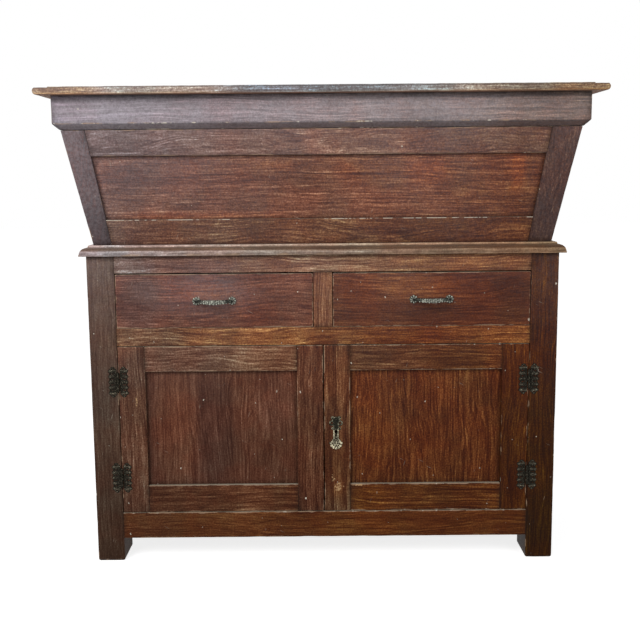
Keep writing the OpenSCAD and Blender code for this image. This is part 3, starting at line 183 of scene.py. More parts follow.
# Broad changes in the stain, listed by how the names of the boards begin: centre x and z, half width and
# half height in metres, then the factor on red, green and blue
STAINS = {
    "lid_planks": [
        (-0.46, 1.012, 0.32, 0.020, (1.50, 1.20, 0.78)),
        (-0.53, 1.012, 0.09, 0.020, (1.20, 1.08, 0.74)),
        (0.54, 1.012, 0.09, 0.020, (1.25, 1.02, 0.75)),
        (0.00, 1.012, 0.22, 0.020, (0.72, 0.82, 0.88)),
        (0.45, 1.012, 0.20, 0.020, (1.10, 1.00, 0.85)),
        (0.00, 1.0168, 2.00, 0.0018, (0.55, 0.50, 0.50)),
        (0.00, 1.0045, 2.00, 0.0022, (1.60, 1.45, 1.20)),
    ],
    "lid_apron_front": [
        # a painted shadow along the top of the apron, under the lid's overhang
        (0.00, 1.0010, 2.00, 0.0060, (0.55, 0.60, 0.62)),
        (-0.40, 0.970, 0.18, 0.050, (0.78, 0.78, 0.76)),
        (0.00, 0.9400, 2.00, 0.0070, (1.25, 1.00, 0.86)),
    ],
    "waist_moulding": [
        # painted light and shade on the profile: top fillet worn and with a painted highlight, painted shade in
        # the cove, painted sheen on the nose
        (-0.15, 0.6955, 0.75, 0.0042, (3.20, 3.60, 4.10)),
        (0.00, 0.6888, 2.00, 0.0040, (0.42, 0.33, 0.25)),
        (-0.35, 0.6800, 0.50, 0.0058, (1.60, 1.80, 2.10)),
        (0.35, 0.6800, 0.40, 0.0058, (1.20, 1.25, 1.35)),
    ],
    "trough_upper_rail": [
        (-0.40, 0.906, 0.12, 0.050, (0.80, 0.90, 0.98)),
        (0.06, 0.906, 0.16, 0.050, (1.30, 1.25, 1.18)),
        (0.26, 0.906, 0.09, 0.050, (0.85, 0.75, 0.65)),
    ],
    "trough_panel": [
        (-0.38, 0.840, 0.09, 0.035, (0.72, 0.72, 0.78)),
        (0.10, 0.850, 0.09, 0.030, (0.84, 0.70, 0.56)),
        (0.23, 0.845, 0.06, 0.030, (1.25, 1.12, 0.92)),
        (0.05, 0.785, 0.13, 0.035, (1.22, 1.25, 1.30)),
        (0.36, 0.790, 0.10, 0.040, (1.18, 1.25, 1.15)),
        (0.405, 0.850, 0.02, 0.050, (1.55, 1.20, 0.80)),
        (-0.26, 0.7580, 0.20, 0.0080, (1.75, 1.45, 1.10)),
        (-0.10, 0.862, 0.05, 0.012, (1.35, 1.30, 1.10)),
    ],
    "trough_lower_rail": [
        (0.00, 0.727, 0.08, 0.040, (1.25, 1.30, 1.30)),
        (-0.40, 0.727, 0.07, 0.040, (1.02, 1.15, 1.34)),
        (0.235, 0.727, 0.08, 0.040, (0.80, 0.78, 0.72)),
    ],
    "trough_stile_left": [
        (-0.495, 0.900, 0.10, 0.050, (1.14, 1.10, 1.04)),
        (-0.47, 0.735, 0.08, 0.050, (0.58, 0.46, 0.50)),
    ],
    "top_rail": [
        (-0.28, 0.652, 0.12, 0.030, (0.68, 0.62, 0.68)),
        (-0.40, 0.652, 0.05, 0.030, (0.85, 1.05, 1.35)),
        (0.28, 0.652, 0.16, 0.030, (1.08, 1.00, 0.80)),
        (0.00, 0.652, 0.07, 0.030, (1.20, 1.35, 1.50)),
    ],
    "left_drawer_front": [
        (-0.26, 0.600, 0.07, 0.022, (1.45, 1.28, 1.00)),
        (-0.39, 0.575, 0.05, 0.070, (0.74, 0.90, 1.10)),
        (-0.31, 0.545, 0.06, 0.030, (0.84, 0.84, 0.84)),
        (-0.15, 0.552, 0.06, 0.030, (1.24, 1.16, 1.06)),
        (-0.07, 0.580, 0.07, 0.060, (1.12, 1.30, 1.45)),
    ],
    "right_drawer_front": [
        (0.200, 0.603, 0.08, 0.025, (1.70, 1.90, 1.80)),
        (0.40, 0.600, 0.05, 0.030, (0.54, 0.50, 0.44)),
        (0.40, 0.548, 0.04, 0.030, (0.78, 0.95, 1.10)),
        (0.25, 0.552, 0.10, 0.028, (0.72, 0.68, 0.70)),
    ],
    "middle_rail": [
        (-0.37, 0.500, 0.10, 0.030, (0.66, 0.76, 1.02)),
        (-0.10, 0.500, 0.10, 0.030, (1.30, 1.42, 1.45)),
        (0.17, 0.500, 0.12, 0.030, (0.85, 0.65, 0.50)),
    ],
    "left_door_panel": [
        (-0.325, 0.290, 0.055, 0.150, (1.30, 1.25, 1.12)),
        (-0.235, 0.290, 0.05, 0.150, (0.70, 0.70, 0.75)),
        (-0.10, 0.360, 0.05, 0.080, (1.32, 1.42, 1.60)),
    ],
    "right_door_panel": [
        (0.105, 0.260, 0.05, 0.120, (1.30, 1.27, 1.12)),
        (0.22, 0.320, 0.07, 0.070, (0.84, 0.82, 0.82)),
        (0.33, 0.375, 0.05, 0.050, (0.86, 1.04, 1.18)),
        (0.22, 0.230, 0.07, 0.060, (1.00, 0.86, 0.78)),
    ],
    "bottom_rail": [
        (0.08, 0.079, 0.12, 0.040, (1.17, 1.15, 1.00)),
        (-0.37, 0.079, 0.06, 0.040, (1.05, 1.16, 1.34)),
    ],
    "left_door_rails": [
        (-0.29, 0.450, 0.10, 0.040, (0.78, 0.75, 0.75)),
        (-0.12, 0.450, 0.09, 0.040, (1.30, 1.40, 1.40)),
    ],
    "right_door_rails": [
        (0.14, 0.450, 0.10, 0.040, (1.03, 1.20, 1.40)),
        (0.31, 0.450, 0.10, 0.040, (0.80, 0.69, 0.53)),
        (0.29, 0.140, 0.10, 0.040, (0.74, 0.66, 0.66)),
        (0.10, 0.140, 0.04, 0.040, (1.28, 1.25, 1.02)),
    ],
    "right_door_lock_stile": [
        (0.03, 0.220, 0.04, 0.090, (0.72, 0.55, 0.44)),
        (0.03, 0.155, 0.02, 0.020, (1.40, 1.35, 1.20)),
    ],
    "left_door_hinge_stile": [
        (-0.40, 0.430, 0.05, 0.050, (0.78, 0.88, 1.00)),
    ],
    "left_door_lock_stile": [
        (-0.026, 0.400, 0.04, 0.080, (1.08, 1.24, 1.38)),
    ],
    "front_leg_left": [
        (-0.47, 0.600, 0.10, 0.100, (0.95, 1.14, 1.36)),
        (-0.47, 0.400, 0.10, 0.100, (0.90, 1.05, 1.18)),
        (-0.47, 0.050, 0.10, 0.070, (0.95, 0.82, 0.74)),
    ],
    "front_leg_right": [
        (0.46, 0.500, 0.10, 0.160, (1.25, 1.10, 0.80)),
    ],
}

# Where the bloom on the wax and its painted sheen are thicker or thinner, in the same form with one factor
BLOOMS_AND_SHEEN = {
    "left_drawer_front": [
        (-0.27, 0.59, 0.14, 0.05, 1.8),
    ],
    "trough_upper_rail": [
        (-0.38, 0.90, 0.30, 0.045, 0.65),
    ],
    "lid_apron": [
        (0.30, 0.97, 0.55, 0.045, 1.25),
        # less of the painted sheen in the painted shadow under the lid and on the chamfer
        (0.00, 0.94, 2.00, 0.008, 0.75),
        (0.00, 1.00, 2.00, 0.006, 0.60),
    ],
}

# Where more paint has chipped onto or off an arris, in the same form
CHIPS = {
    "lid_apron_front": [
        (-0.335, 0.940, 0.040, 0.010, 3.2),
        (-0.190, 0.940, 0.008, 0.010, 2.6),
        (0.015, 0.940, 0.010, 0.010, 2.8),
        (0.100, 0.940, 0.040, 0.010, 2.6),
        (0.200, 0.940, 0.020, 0.010, 2.4),
        (-0.100, 0.940, 0.050, 0.010, 0.1),
    ],
    "trough_upper_rail": [
        (0.060, 0.934, 0.120, 0.006, 9.0),
    ],
}

# Where the finish has flaked off the front: centre x and z, half width and half height
FLAKE_DEPTH = 6 * MM
FLAKES = [
    (0.031, 0.166, 0.018, 0.019),
    (0.018, 0.184, 0.009, 0.014),
    (-0.404, 0.358, 0.004, 0.020),
    (0.074, 0.169, 0.022, 0.004),
]

# How far the marks on the boards reach: to an arris or a joint, and to another board
NEAR_ARRIS = 10 * MM
NEAR_BOARD = 30 * MM

# What the finishes read at each point of a board: the kind of value and the key that sets it
POINT_VALUES = {
    "board": ("FLOAT_VECTOR", "vector"),
    "marks": ("FLOAT_COLOR", "color"),
    "stain": ("FLOAT_COLOR", "color"),
    "skin": ("FLOAT_COLOR", "color"),
    "sway": ("FLOAT", "value"),
}


# Node trees, written down as short calls

def put(tree, kind, feeds=None, **settings):
    """Adds a node, sets its properties and connects or fills its inputs."""
    node = tree.nodes.new(kind)
    for key, value in settings.items():
        setattr(node, key, value)
    for key, value in (feeds or {}).items():
        fill(tree, node.inputs[key], value)
    return node


def fill(tree, socket, value):
    """Connects an output to an input, or sets the input's own value."""
    if isinstance(value, bpy.types.NodeSocket):
        tree.links.new(value, socket)
    elif isinstance(value, bpy.types.Node):
        tree.links.new(value.outputs[0], socket)
    else:
        socket.default_value = value


def calc(tree, operation, a, b=None, c=None, clamp=False):
    """One Math node, returned as its output."""
    feeds = {i: v for i, v in enumerate((a, b, c)) if v is not None}
    return put(tree, "ShaderNodeMath", feeds, operation=operation, use_clamp=clamp).outputs[0]


def swing(tree, noise, share, base):
    """A value moved up and down by a share of a noise that swings about 0.5."""
    return calc(tree, "MULTIPLY_ADD", calc(tree, "SUBTRACT", noise, 0.5), share, base)


def times(tree, a, b, clamp=False):
    """Two values multiplied."""
    return calc(tree, "MULTIPLY", a, b, clamp=clamp)


def stretch(tree, vector, scale):
    """A vector times a vector."""
    return put(tree, "ShaderNodeVectorMath", {0: vector, 1: scale}, operation="MULTIPLY").outputs[0]


def cloud(tree, vector, scale=1.0, detail=2.0, rough=0.5):
    """Smooth noise from 0 to 1."""
    feeds = {"Vector": vector, "Scale": scale, "Detail": detail, "Roughness": rough}
    return put(tree, "ShaderNodeTexNoise", feeds).outputs["Fac"]


def ramp(tree, value, start, end, to_start=0.0, to_end=1.0):
    """A smooth step between two values."""
    feeds = {"Value": value, "From Min": start, "From Max": end, "To Min": to_start, "To Max": to_end}
    node = put(tree, "ShaderNodeMapRange", feeds, interpolation_type="SMOOTHSTEP", clamp=True)
    return node.outputs["Result"]


def blend(tree, factor, a, b, mode="MIX"):
    """Two colours mixed."""
    node = tree.nodes.new("ShaderNodeMix")
    node.data_type = "RGBA"
    node.blend_type = mode
    for key, value in ((0, factor), (6, a), (7, b)):
        if isinstance(value, tuple) and len(value) == 3:
            value = (*value, 1.0)
        fill(tree, node.inputs[key], value)
    return node.outputs[2]


def group(name, inputs, outputs, kind="ShaderNodeTree"):
    """A node group, the values that it is given and the places for those that it makes."""
    tree = bpy.data.node_groups.new(name, kind)
    for label, socket_type, default in inputs:
        socket = tree.interface.new_socket(label, in_out="INPUT", socket_type=socket_type)
        if default is not None:
            socket.default_value = default
    for label, socket_type in outputs:
        tree.interface.new_socket(label, in_out="OUTPUT", socket_type=socket_type)
    return tree, tree.nodes.new("NodeGroupInput").outputs, tree.nodes.new("NodeGroupOutput").inputs


def use(tree, name, **feeds):
    """Places a node group; a feed's name has _ for the spaces in its socket's name."""
    node = tree.nodes.new("ShaderNodeGroup")
    node.node_tree = bpy.data.node_groups[name]
    for key, value in feeds.items():
        fill(tree, node.inputs[key.replace("_", " ")], value)
    return node


FLOAT = "NodeSocketFloat"
WHOLE = "NodeSocketInt"
VECTOR = "NodeSocketVector"
SHAPE = "NodeSocketGeometry"
FINISH = "NodeSocketMaterial"


# Effects that several finishes share

def make_wood_figure():
    """Rings, streaks, fibres and pores of a board: x runs with the grain, and the pith is at y = z = 0."""
    tree, given, made = group(
        "wood_figure",
        [("Board", VECTOR, None), ("Sway", FLOAT, 1.0), ("Ring Width", FLOAT, 0.008),
         ("Ring Share", FLOAT, 0.3), ("Streak Share", FLOAT, 0.8), ("Fibre Share", FLOAT, 1.0)],
        [("Tone", FLOAT), ("Pores", FLOAT), ("Height", FLOAT)],
    )
    board = given["Board"]
    warp = cloud(tree, stretch(tree, board, (2.2, 6, 6)), detail=2)
    ripple = cloud(tree, stretch(tree, board, (9, 32, 32)), detail=2)
    bent = times(tree, calc(tree, "SUBTRACT", warp, 0.5), given["Sway"])
    sway = swing(tree, ripple, 0.007, times(tree, bent, 0.10))
    swayed = put(tree, "ShaderNodeCombineXYZ", {1: sway, 2: sway})
    moved = put(tree, "ShaderNodeVectorMath", {0: board, 1: swayed.outputs[0]}, operation="ADD")
    wavy = put(tree, "ShaderNodeMapping", {"Vector": moved, "Rotation": (0.62, 0.0, 0.0)}).outputs[0]
    streak = cloud(tree, stretch(tree, wavy, (3.2, 62, 62)), detail=4, rough=0.65)
    fibre = cloud(tree, stretch(tree, wavy, (17, 270, 270)), detail=3, rough=0.8)
    dashes = cloud(tree, stretch(tree, wavy, (18, 330, 330)), detail=1)
    threads = cloud(tree, stretch(tree, wavy, (6, 240, 240)), detail=1)
    across = swing(tree, streak, 0.006, put(tree, "ShaderNodeSeparateXYZ", {0: wavy}).outputs[2])
    lines = put(tree, "ShaderNodeTexNoise", {"W": across, "Scale": 430.0, "Detail": 1.0, "Roughness": 0.6},
                noise_dimensions="1D").outputs["Fac"]
    pores = cloud(tree, stretch(tree, board, (60, 1100, 1100)), detail=1)
    parts = put(tree, "ShaderNodeSeparateXYZ", {0: board})
    radius = calc(tree, "SQRT", calc(
        tree, "ADD",
        times(tree, parts.outputs[1], parts.outputs[1]),
        times(tree, parts.outputs[2], parts.outputs[2]),
    ))
    radius = calc(tree, "MULTIPLY_ADD", bent, 0.06, radius)
    radius = swing(tree, ripple, 0.007, radius)
    uneven = put(tree, "ShaderNodeTexNoise", {"W": radius, "Scale": 60.0, "Detail": 1.0},
                 noise_dimensions="1D")
    phase = calc(tree, "DIVIDE", radius, given["Ring Width"])
    phase = calc(tree, "MULTIPLY_ADD", uneven.outputs["Fac"], 1.4, phase)
    late = calc(tree, "POWER", calc(tree, "FRACT", phase), 3.0)
    shown = ramp(tree, warp, 0.40, 0.60, 0.25, 1.2)
    ring = times(tree, calc(tree, "SUBTRACT", 0.25, late), shown)
    tone = calc(tree, "MULTIPLY_ADD", ring, given["Ring Share"], 0.5)
    tone = swing(tree, streak, given["Streak Share"], tone)
    tone = swing(tree, fibre, given["Fibre Share"], tone)
    drawn = ramp(tree, ripple, 0.35, 0.65, 0.3, 1.2)
    lined = times(tree, calc(tree, "SUBTRACT", lines, 0.5), drawn)
    tone = calc(tree, "ADD", lined, tone)
    tone = calc(tree, "MULTIPLY_ADD", ramp(tree, dashes, 0.56, 0.66), -0.12, tone)
    tone = calc(tree, "MULTIPLY_ADD", ramp(tree, threads, 0.54, 0.66), 0.26, tone)
    dark_pores = ramp(tree, pores, 0.58, 0.70)
    fill(tree, made["Tone"], tone)
    fill(tree, made["Pores"], dark_pores)
    height = calc(tree, "MULTIPLY_ADD", dark_pores, -0.8, calc(tree, "MULTIPLY_ADD", late, 0.35, fibre))
    fill(tree, made["Height"], height)


def make_edge_wear():
    """Bare wood along an arris: wide and broken where the noise says so."""
    tree, given, made = group(
        "edge_wear",
        [("Distance", FLOAT, 1.0), ("Board", VECTOR, None), ("Width", FLOAT, 0.002), ("Amount", FLOAT, 0.5)],
        [("Mask", FLOAT)],
    )
    patches = cloud(tree, stretch(tree, given["Board"], (22, 60, 60)), detail=4, rough=0.7)
    reach = times(tree, given["Width"], ramp(tree, patches, 0.35, 0.8, 0.3, 2.6))
    reach = times(tree, reach, calc(tree, "ADD", given["Amount"], 0.4))
    near = calc(tree, "SUBTRACT", 1.0, calc(tree, "DIVIDE", given["Distance"], reach), clamp=True)
    limit = calc(tree, "MULTIPLY_ADD", given["Amount"], -0.5, 0.74)
    broken = ramp(tree, patches, limit, calc(tree, "ADD", limit, 0.12))
    fill(tree, made["Mask"], times(tree, ramp(tree, near, 0.0, 0.6), broken))


def make_surface_plane():
    """Two coordinates that lie in the surface, whichever way a face of the cupboard looks."""
    tree, given, made = group("surface_plane", [("Position", VECTOR, None), ("Normal", VECTOR, None)],
                              [("Vector", VECTOR)])
    parts = put(tree, "ShaderNodeSeparateXYZ", {0: given["Position"]})
    facing = put(tree, "ShaderNodeSeparateXYZ", {0: given["Normal"]})
    kept = []
    for axis in range(3):
        aside = calc(tree, "LESS_THAN", calc(tree, "ABSOLUTE", facing.outputs[axis]), 0.72)
        kept.append(times(tree, parts.outputs[axis], aside))
    first = calc(tree, "MULTIPLY_ADD", kept[1], 0.8, kept[0])
    second = calc(tree, "MULTIPLY_ADD", kept[1], 0.6, kept[2])
    flat = put(tree, "ShaderNodeCombineXYZ", {0: first, 1: second})
    fill(tree, made["Vector"], flat)


def make_specks():
    """Scattered spots of old paint: a share of the cells holds one small upright fleck."""
    tree, given, made = group(
        "paint_specks",
        [("Vector", VECTOR, None), ("Spacing", FLOAT, 0.05), ("Radius", FLOAT, 0.002), ("Share", FLOAT, 0.4)],
        [("Mask", FLOAT)],
    )
    place = stretch(tree, given["Vector"], (1.0, 0.72, 1.0))
    wobble = put(tree, "ShaderNodeTexNoise", {"Vector": place, "Scale": 420.0, "Detail": 1.0})
    moved = put(tree, "ShaderNodeVectorMath", {0: wobble.outputs["Color"], 1: (0.0035,) * 3, 2: place},
                operation="MULTIPLY_ADD")
    scale = calc(tree, "DIVIDE", 1.0, given["Spacing"])
    cells = put(tree, "ShaderNodeTexVoronoi", {"Vector": moved, "Scale": scale}, voronoi_dimensions="2D")
    parts = put(tree, "ShaderNodeSeparateColor", {0: cells.outputs["Color"]})
    usual = times(tree, given["Radius"], scale)
    radius = times(tree, usual, calc(tree, "POWER", parts.outputs[1], 2.0))
    radius = calc(tree, "MULTIPLY_ADD", usual, 0.45, radius)
    size = calc(tree, "SUBTRACT", radius, cells.outputs["Distance"])
    spot = ramp(tree, calc(tree, "DIVIDE", size, radius), 0.0, 0.35)
    chosen = calc(tree, "LESS_THAN", parts.outputs[0], given["Share"])
    strength = times(tree, chosen, calc(tree, "MULTIPLY_ADD", parts.outputs[2], 0.60, 0.25))
    fill(tree, made["Mask"], times(tree, spot, strength))


def make_scratches():
    """A few short thin scratches in two directions."""
    tree, given, made = group("scratches", [("Vector", VECTOR, None), ("Amount", FLOAT, 0.5)],
                              [("Mask", FLOAT)])
    total = None
    for turn, stretched in ((0.35, (620, 22, 1)), (-1.1, (560, 30, 1))):
        turned_round = put(tree, "ShaderNodeMapping",
                           {"Vector": given["Vector"], "Rotation": (0.0, 0.0, turn)})
        lines = cloud(tree, stretch(tree, turned_round, stretched), detail=0)
        where = cloud(tree, given["Vector"], scale=30.0 + 5 * turn, detail=2)
        mask = times(tree, ramp(tree, lines, 0.76, 0.82), ramp(tree, where, 0.60, 0.70))
        total = mask if total is None else calc(tree, "MAXIMUM", total, mask)
    fill(tree, made["Mask"], times(tree, total, given["Amount"]))


def make_bloom_and_sheen():
    """Pale bloom on the old wax with a painted sheen: strongest high up and to the left."""
    tree, given, made = group("wax_bloom", [("Vector", VECTOR, None), ("Amount", FLOAT, 1.0)],
                              [("Mask", FLOAT)])
    parts = put(tree, "ShaderNodeSeparateXYZ", {0: given["Vector"]})
    height = calc(tree, "POWER", calc(tree, "MAXIMUM", parts.outputs[2], 0.0), 3.2)
    across = ramp(tree, parts.outputs[0], -0.6, 0.62, 1.0, 0.50)
    broad = cloud(tree, given["Vector"], scale=3.2, detail=3)
    mottled = ramp(tree, broad, 0.25, 0.75, 0.55, 1.45)
    amount = calc(tree, "MULTIPLY_ADD", height, 0.36, 0.002)
    amount = times(tree, amount, times(tree, across, mottled))
    fine = cloud(tree, given["Vector"], scale=170.0, detail=3, rough=0.7)
    amount = times(tree, amount, ramp(tree, fine, 0.32, 0.68, 0.72, 1.28))
    fill(tree, made["Mask"], times(tree, amount, given["Amount"], clamp=True))


def make_flakes():
    """Ragged places on the front where the finish has flaked off the wood."""
    tree, given, made = group("flaked_finish", [("Vector", VECTOR, None)], [("Mask", FLOAT)])
    place = given["Vector"]
    cover = 0.0
    for x, z, half_w, half_h in FLAKES:
        offset = put(tree, "ShaderNodeVectorMath", {0: place, 1: (x, FRONT_Y, z)}, operation="SUBTRACT")
        offset = stretch(tree, offset, (1 / half_w, 1 / FLAKE_DEPTH, 1 / half_h))
        reach = put(tree, "ShaderNodeVectorMath", {0: offset}, operation="LENGTH").outputs["Value"]
        cover = calc(tree, "MAXIMUM", cover, ramp(tree, reach, 0.2, 1.25, 1.0, 0.0))
    ragged = cloud(tree, place, scale=215.0, detail=4, rough=0.7)
    limit = calc(tree, "MULTIPLY_ADD", cover, -0.40, 0.84)
    mask = ramp(tree, ragged, limit, calc(tree, "ADD", limit, 0.08))
    fill(tree, made["Mask"], times(tree, mask, ramp(tree, cover, 0.0, 0.2)))


def make_patina():
    """Cast metal: a pitted height and the places where the patina has worn away."""
    tree, given, made = group(
        "cast_patina", [("Vector", VECTOR, None), ("Scale", FLOAT, 300.0), ("Amount", FLOAT, 0.5)],
        [("Mask", FLOAT), ("Height", FLOAT)],
    )
    pits = cloud(tree, given["Vector"], scale=given["Scale"], detail=4, rough=0.7)
    limit = calc(tree, "MULTIPLY_ADD", given["Amount"], -0.5, 0.75)
    fill(tree, made["Mask"], ramp(tree, pits, limit, calc(tree, "ADD", limit, 0.15)))
    fill(tree, made["Height"], pits)


# Finishes, one for each material slot

def shader(name):
    """A new material with its tree and its Principled BSDF."""
    material = bpy.data.materials.new(name + "_finish")
    material.use_nodes = True
    tree = material.node_tree
    return material, tree, tree.nodes["Principled BSDF"]


def attribute(tree, name):
    """The outputs of a named attribute of the mesh."""
    return put(tree, "ShaderNodeAttribute", attribute_name=name).outputs


def make_wood(name, finish, rings, streaks, fibres, bloom, specks, rough):
    """A stained board: its figure, then bloom and painted sheen, wear, flakes, dirt and painted shade, dust,
    spots of paint, scratches.
    """
    _, tree, bsdf = shader(name)
    coordinates = put(tree, "ShaderNodeTexCoord").outputs
    place = coordinates["Object"]
    plane = use(tree, "surface_plane", Position=place, Normal=coordinates["Normal"]).outputs["Vector"]
    board = attribute(tree, "board")["Vector"]
    # the stain holds painted light and shade as well as the board's own colour
    stain = attribute(tree, "stain")
    marks = attribute(tree, "marks")
    lines = put(tree, "ShaderNodeSeparateColor", {0: marks["Color"]})
    to_arris = times(tree, lines.outputs[0], NEAR_ARRIS)
    to_joint = times(tree, lines.outputs[1], NEAR_ARRIS)
    to_other = times(tree, lines.outputs[2], NEAR_BOARD)

    surface = attribute(tree, "skin")
    skin = put(tree, "ShaderNodeSeparateColor", {0: surface["Color"]})
    warm = surface["Alpha"]

    figure = use(tree, "wood_figure", Board=board, Sway=attribute(tree, "sway")["Fac"],
                 Ring_Width=finish.ring_width, Ring_Share=rings, Streak_Share=streaks, Fibre_Share=fibres)
    blotch = cloud(tree, place, scale=8.0, detail=5, rough=0.65)
    tone = swing(tree, blotch, 1.15, figure.outputs["Tone"])
    tone = swing(tree, cloud(tree, place, scale=300.0, detail=2, rough=0.6), 1.75, tone)
    tone = calc(tree, "MULTIPLY_ADD", figure.outputs["Pores"], -0.16, tone)
    lift = times(tree, calc(tree, "SUBTRACT", tone, 0.5), skin.outputs[1])
    even = calc(tree, "POWER", 6.0, times(tree, lift, calc(tree, "SUBTRACT", 1.0, warm)))
    warmer = times(tree, lift, warm)
    factors = [times(tree, calc(tree, "POWER", base, warmer), even) for base in (4.0, 7.0, 9.2)]
    shade = put(tree, "ShaderNodeCombineColor", dict(enumerate(factors)))
    colour = blend(tree, 1.0, stain["Color"], shade.outputs[0], "MULTIPLY")
    hue = ramp(tree, cloud(tree, place, scale=13.0, detail=4, rough=0.6), 0.38, 0.62)
    tint = blend(tree, hue, (1.05, 0.96, 0.94), (0.96, 1.03, 1.05))
    colour = blend(tree, 1.0, colour, tint, "MULTIPLY")

    amount = times(tree, skin.outputs[0], bloom)
    bloom_and_sheen_mask = use(tree, "wax_bloom", Vector=place, Amount=amount).outputs["Mask"]
    # bloom on the wax and a painted sheen, strongest high up and to the left
    colour = blend(tree, bloom_and_sheen_mask, colour, tuple(finish.bloom_colour))
    worn = use(tree, "edge_wear", Distance=to_arris, Board=board, Width=finish.wear_width,
               Amount=stain["Alpha"]).outputs["Mask"]
    colour = blend(tree, times(tree, worn, 0.65), colour, tuple(finish.bare_colour))
    laid_bare = use(tree, "flaked_finish", Vector=place).outputs["Mask"]
    colour = blend(tree, times(tree, laid_bare, 0.85), colour, tuple(finish.flaked_colour))
    # dirt and painted shade near other boards and in inward corners, with the dark joints, in one near-black
    # colour
    dirt_and_shade_noise = ramp(tree, cloud(tree, place, scale=60.0, detail=3), 0.3, 0.7, 0.4, 1.0)
    dirt_and_shade = times(tree, ramp(tree, to_other, 0.0, 11 * MM, 0.55, 0.0), dirt_and_shade_noise)
    seam = ramp(tree, to_joint, 0.2 * MM, 1.3 * MM, 0.85, 0.0)
    colour = blend(tree, calc(tree, "MAXIMUM", dirt_and_shade, seam), colour, (0.012, 0.007, 0.005))
    dust = times(tree, marks["Alpha"], ramp(tree, blotch, 0.3, 0.7, 0.35, 0.75))
    colour = blend(tree, dust, colour, tuple(finish.dust_colour))
    scratch = use(tree, "scratches", Vector=plane, Amount=0.5).outputs["Mask"]
    where = put(tree, "ShaderNodeSeparateXYZ", {0: place}).outputs
    share = times(tree, ramp(tree, where[2], 0.58, 0.72, 1.0, 0.12), specks)
    share = calc(tree, "MAXIMUM", share, ramp(tree, where[0], -0.42, -0.37, 0.45, 0.0))
    spots = use(tree, "paint_specks", Vector=plane, Spacing=finish.speck_spacing,
                Radius=finish.speck_radius, Share=share).outputs["Mask"]
    drawn_out = stretch(tree, plane, (1.0, 0.22, 1.0))
    ticks = use(tree, "paint_specks", Vector=drawn_out, Spacing=finish.speck_spacing,
                Radius=times(tree, finish.speck_radius, 0.7), Share=0.22).outputs["Mask"]
    limit = calc(tree, "MULTIPLY_ADD", skin.outputs[2], -0.08, 0.68)
    flakes = cloud(tree, place, scale=75.0, detail=3, rough=0.6)
    flaked = ramp(tree, flakes, limit, calc(tree, "ADD", limit, 0.09))
    chips = times(tree, ramp(tree, to_arris, 0.6 * MM, 2.0 * MM, 0.75, 0.0), flaked)
    flecks = calc(tree, "MAXIMUM", spots, times(tree, scratch, 0.5))
    flecks = calc(tree, "MAXIMUM", flecks, calc(tree, "MAXIMUM", times(tree, ticks, 0.4), chips))
    colour = blend(tree, flecks, colour, tuple(finish.speck_colour))

    fill(tree, bsdf.inputs["Base Color"], colour)
    matt = calc(tree, "MULTIPLY_ADD", worn, 0.2, swing(tree, blotch, 0.25, rough))
    fill(tree, bsdf.inputs["Roughness"], calc(tree, "MULTIPLY_ADD", dust, 0.3, matt, clamp=True))
    bsdf.inputs["Specular IOR Level"].default_value = finish.gloss
    height = calc(tree, "MULTIPLY_ADD", flecks, 0.9, figure.outputs["Height"])
    height = calc(tree, "MULTIPLY_ADD", worn, -0.7, height)
    bump = put(tree, "ShaderNodeBump", {"Height": height, "Distance": finish.grain_depth, "Strength": 0.5})
    fill(tree, bsdf.inputs["Normal"], bump)


def make_metal(name, dark, bright, amount, glint_and_polish, rough, metallic, scale):
    """A cast fitting: dark in its hollows, worn bright with painted glints on what stands out, with a pitted
    skin.
    """
    _, tree, bsdf = shader(name)
    place = put(tree, "ShaderNodeTexCoord").outputs["Object"]
    raised = attribute(tree, "raised")["Fac"]
    patina = use(tree, "cast_patina", Vector=place, Scale=scale, Amount=amount)
    # worn metal on what stands out, with painted glints on the highest points
    worn = times(tree, patina.outputs["Mask"], raised)
    worn = calc(tree, "MULTIPLY_ADD", calc(tree, "POWER", raised, 3.0), glint_and_polish, worn, clamp=True)
    fill(tree, bsdf.inputs["Base Color"], blend(tree, worn, dark, bright))
    fill(tree, bsdf.inputs["Metallic"], times(tree, worn, metallic))
    fill(tree, bsdf.inputs["Roughness"], calc(tree, "MULTIPLY_ADD", patina.outputs["Height"], 0.3, rough))
    bsdf.inputs["Specular IOR Level"].default_value = 0.05
    bump = put(tree, "ShaderNodeBump",
               {"Height": patina.outputs["Height"], "Distance": 0.5 * MM, "Strength": 0.6})
    fill(tree, bsdf.inputs["Normal"], bump)


# Steps that several pieces share

def in_scene(name, data):
    """A new object for some data, linked into the scene."""
    thing = bpy.data.objects.new(name, data)
    bpy.context.scene.collection.objects.link(thing)
    return thing


def applied(holder):
    """The mesh that an object's modifiers make; the object and its own mesh are removed."""
    graph = bpy.context.evaluated_depsgraph_get()
    made = bpy.data.meshes.new_from_object(holder.evaluated_get(graph))
    own = holder.data
    holder.modifiers.clear()
    bpy.data.objects.remove(holder)
    bpy.data.meshes.remove(own)
    return made


def smooth_shading(bm, sharp):
    """Shades all faces smooth, up to the edges that are sharper than an angle in degrees."""
    for edge in bm.edges:
        edge.smooth = len(edge.link_faces) == 2 and edge.calc_face_angle(0) < math.radians(sharp)
    for face in bm.faces:
        face.smooth = True


def dress(node, mesh):
    """Gives the mesh that stands for a CAD node its object, material, body and slot."""
    piece = in_scene(mesh.name, mesh)
    mesh.materials.clear()
    mesh.materials.append(bpy.data.materials[SLOT_OF[node] + "_finish"])
    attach(piece, BODY_OF[node])
    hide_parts(node)


# Wooden pieces, made from merged copies of the CAD solids

# Angles in degrees from which an arris is rounded and an inward corner holds dirt
ARRIS_ANGLE = 24
HOLLOW_ANGLE = -20

# Steps in which an arris is looked along, and the most of them
ARRIS_STEP = 15 * MM
MOST_STEPS = 60

# Steps of the grid of points over a board, with the grain, across it and through it
FINE_GRID = (14 * MM, 15 * MM, 40 * MM)
COARSE_GRID = (90 * MM, 60 * MM, 90 * MM)

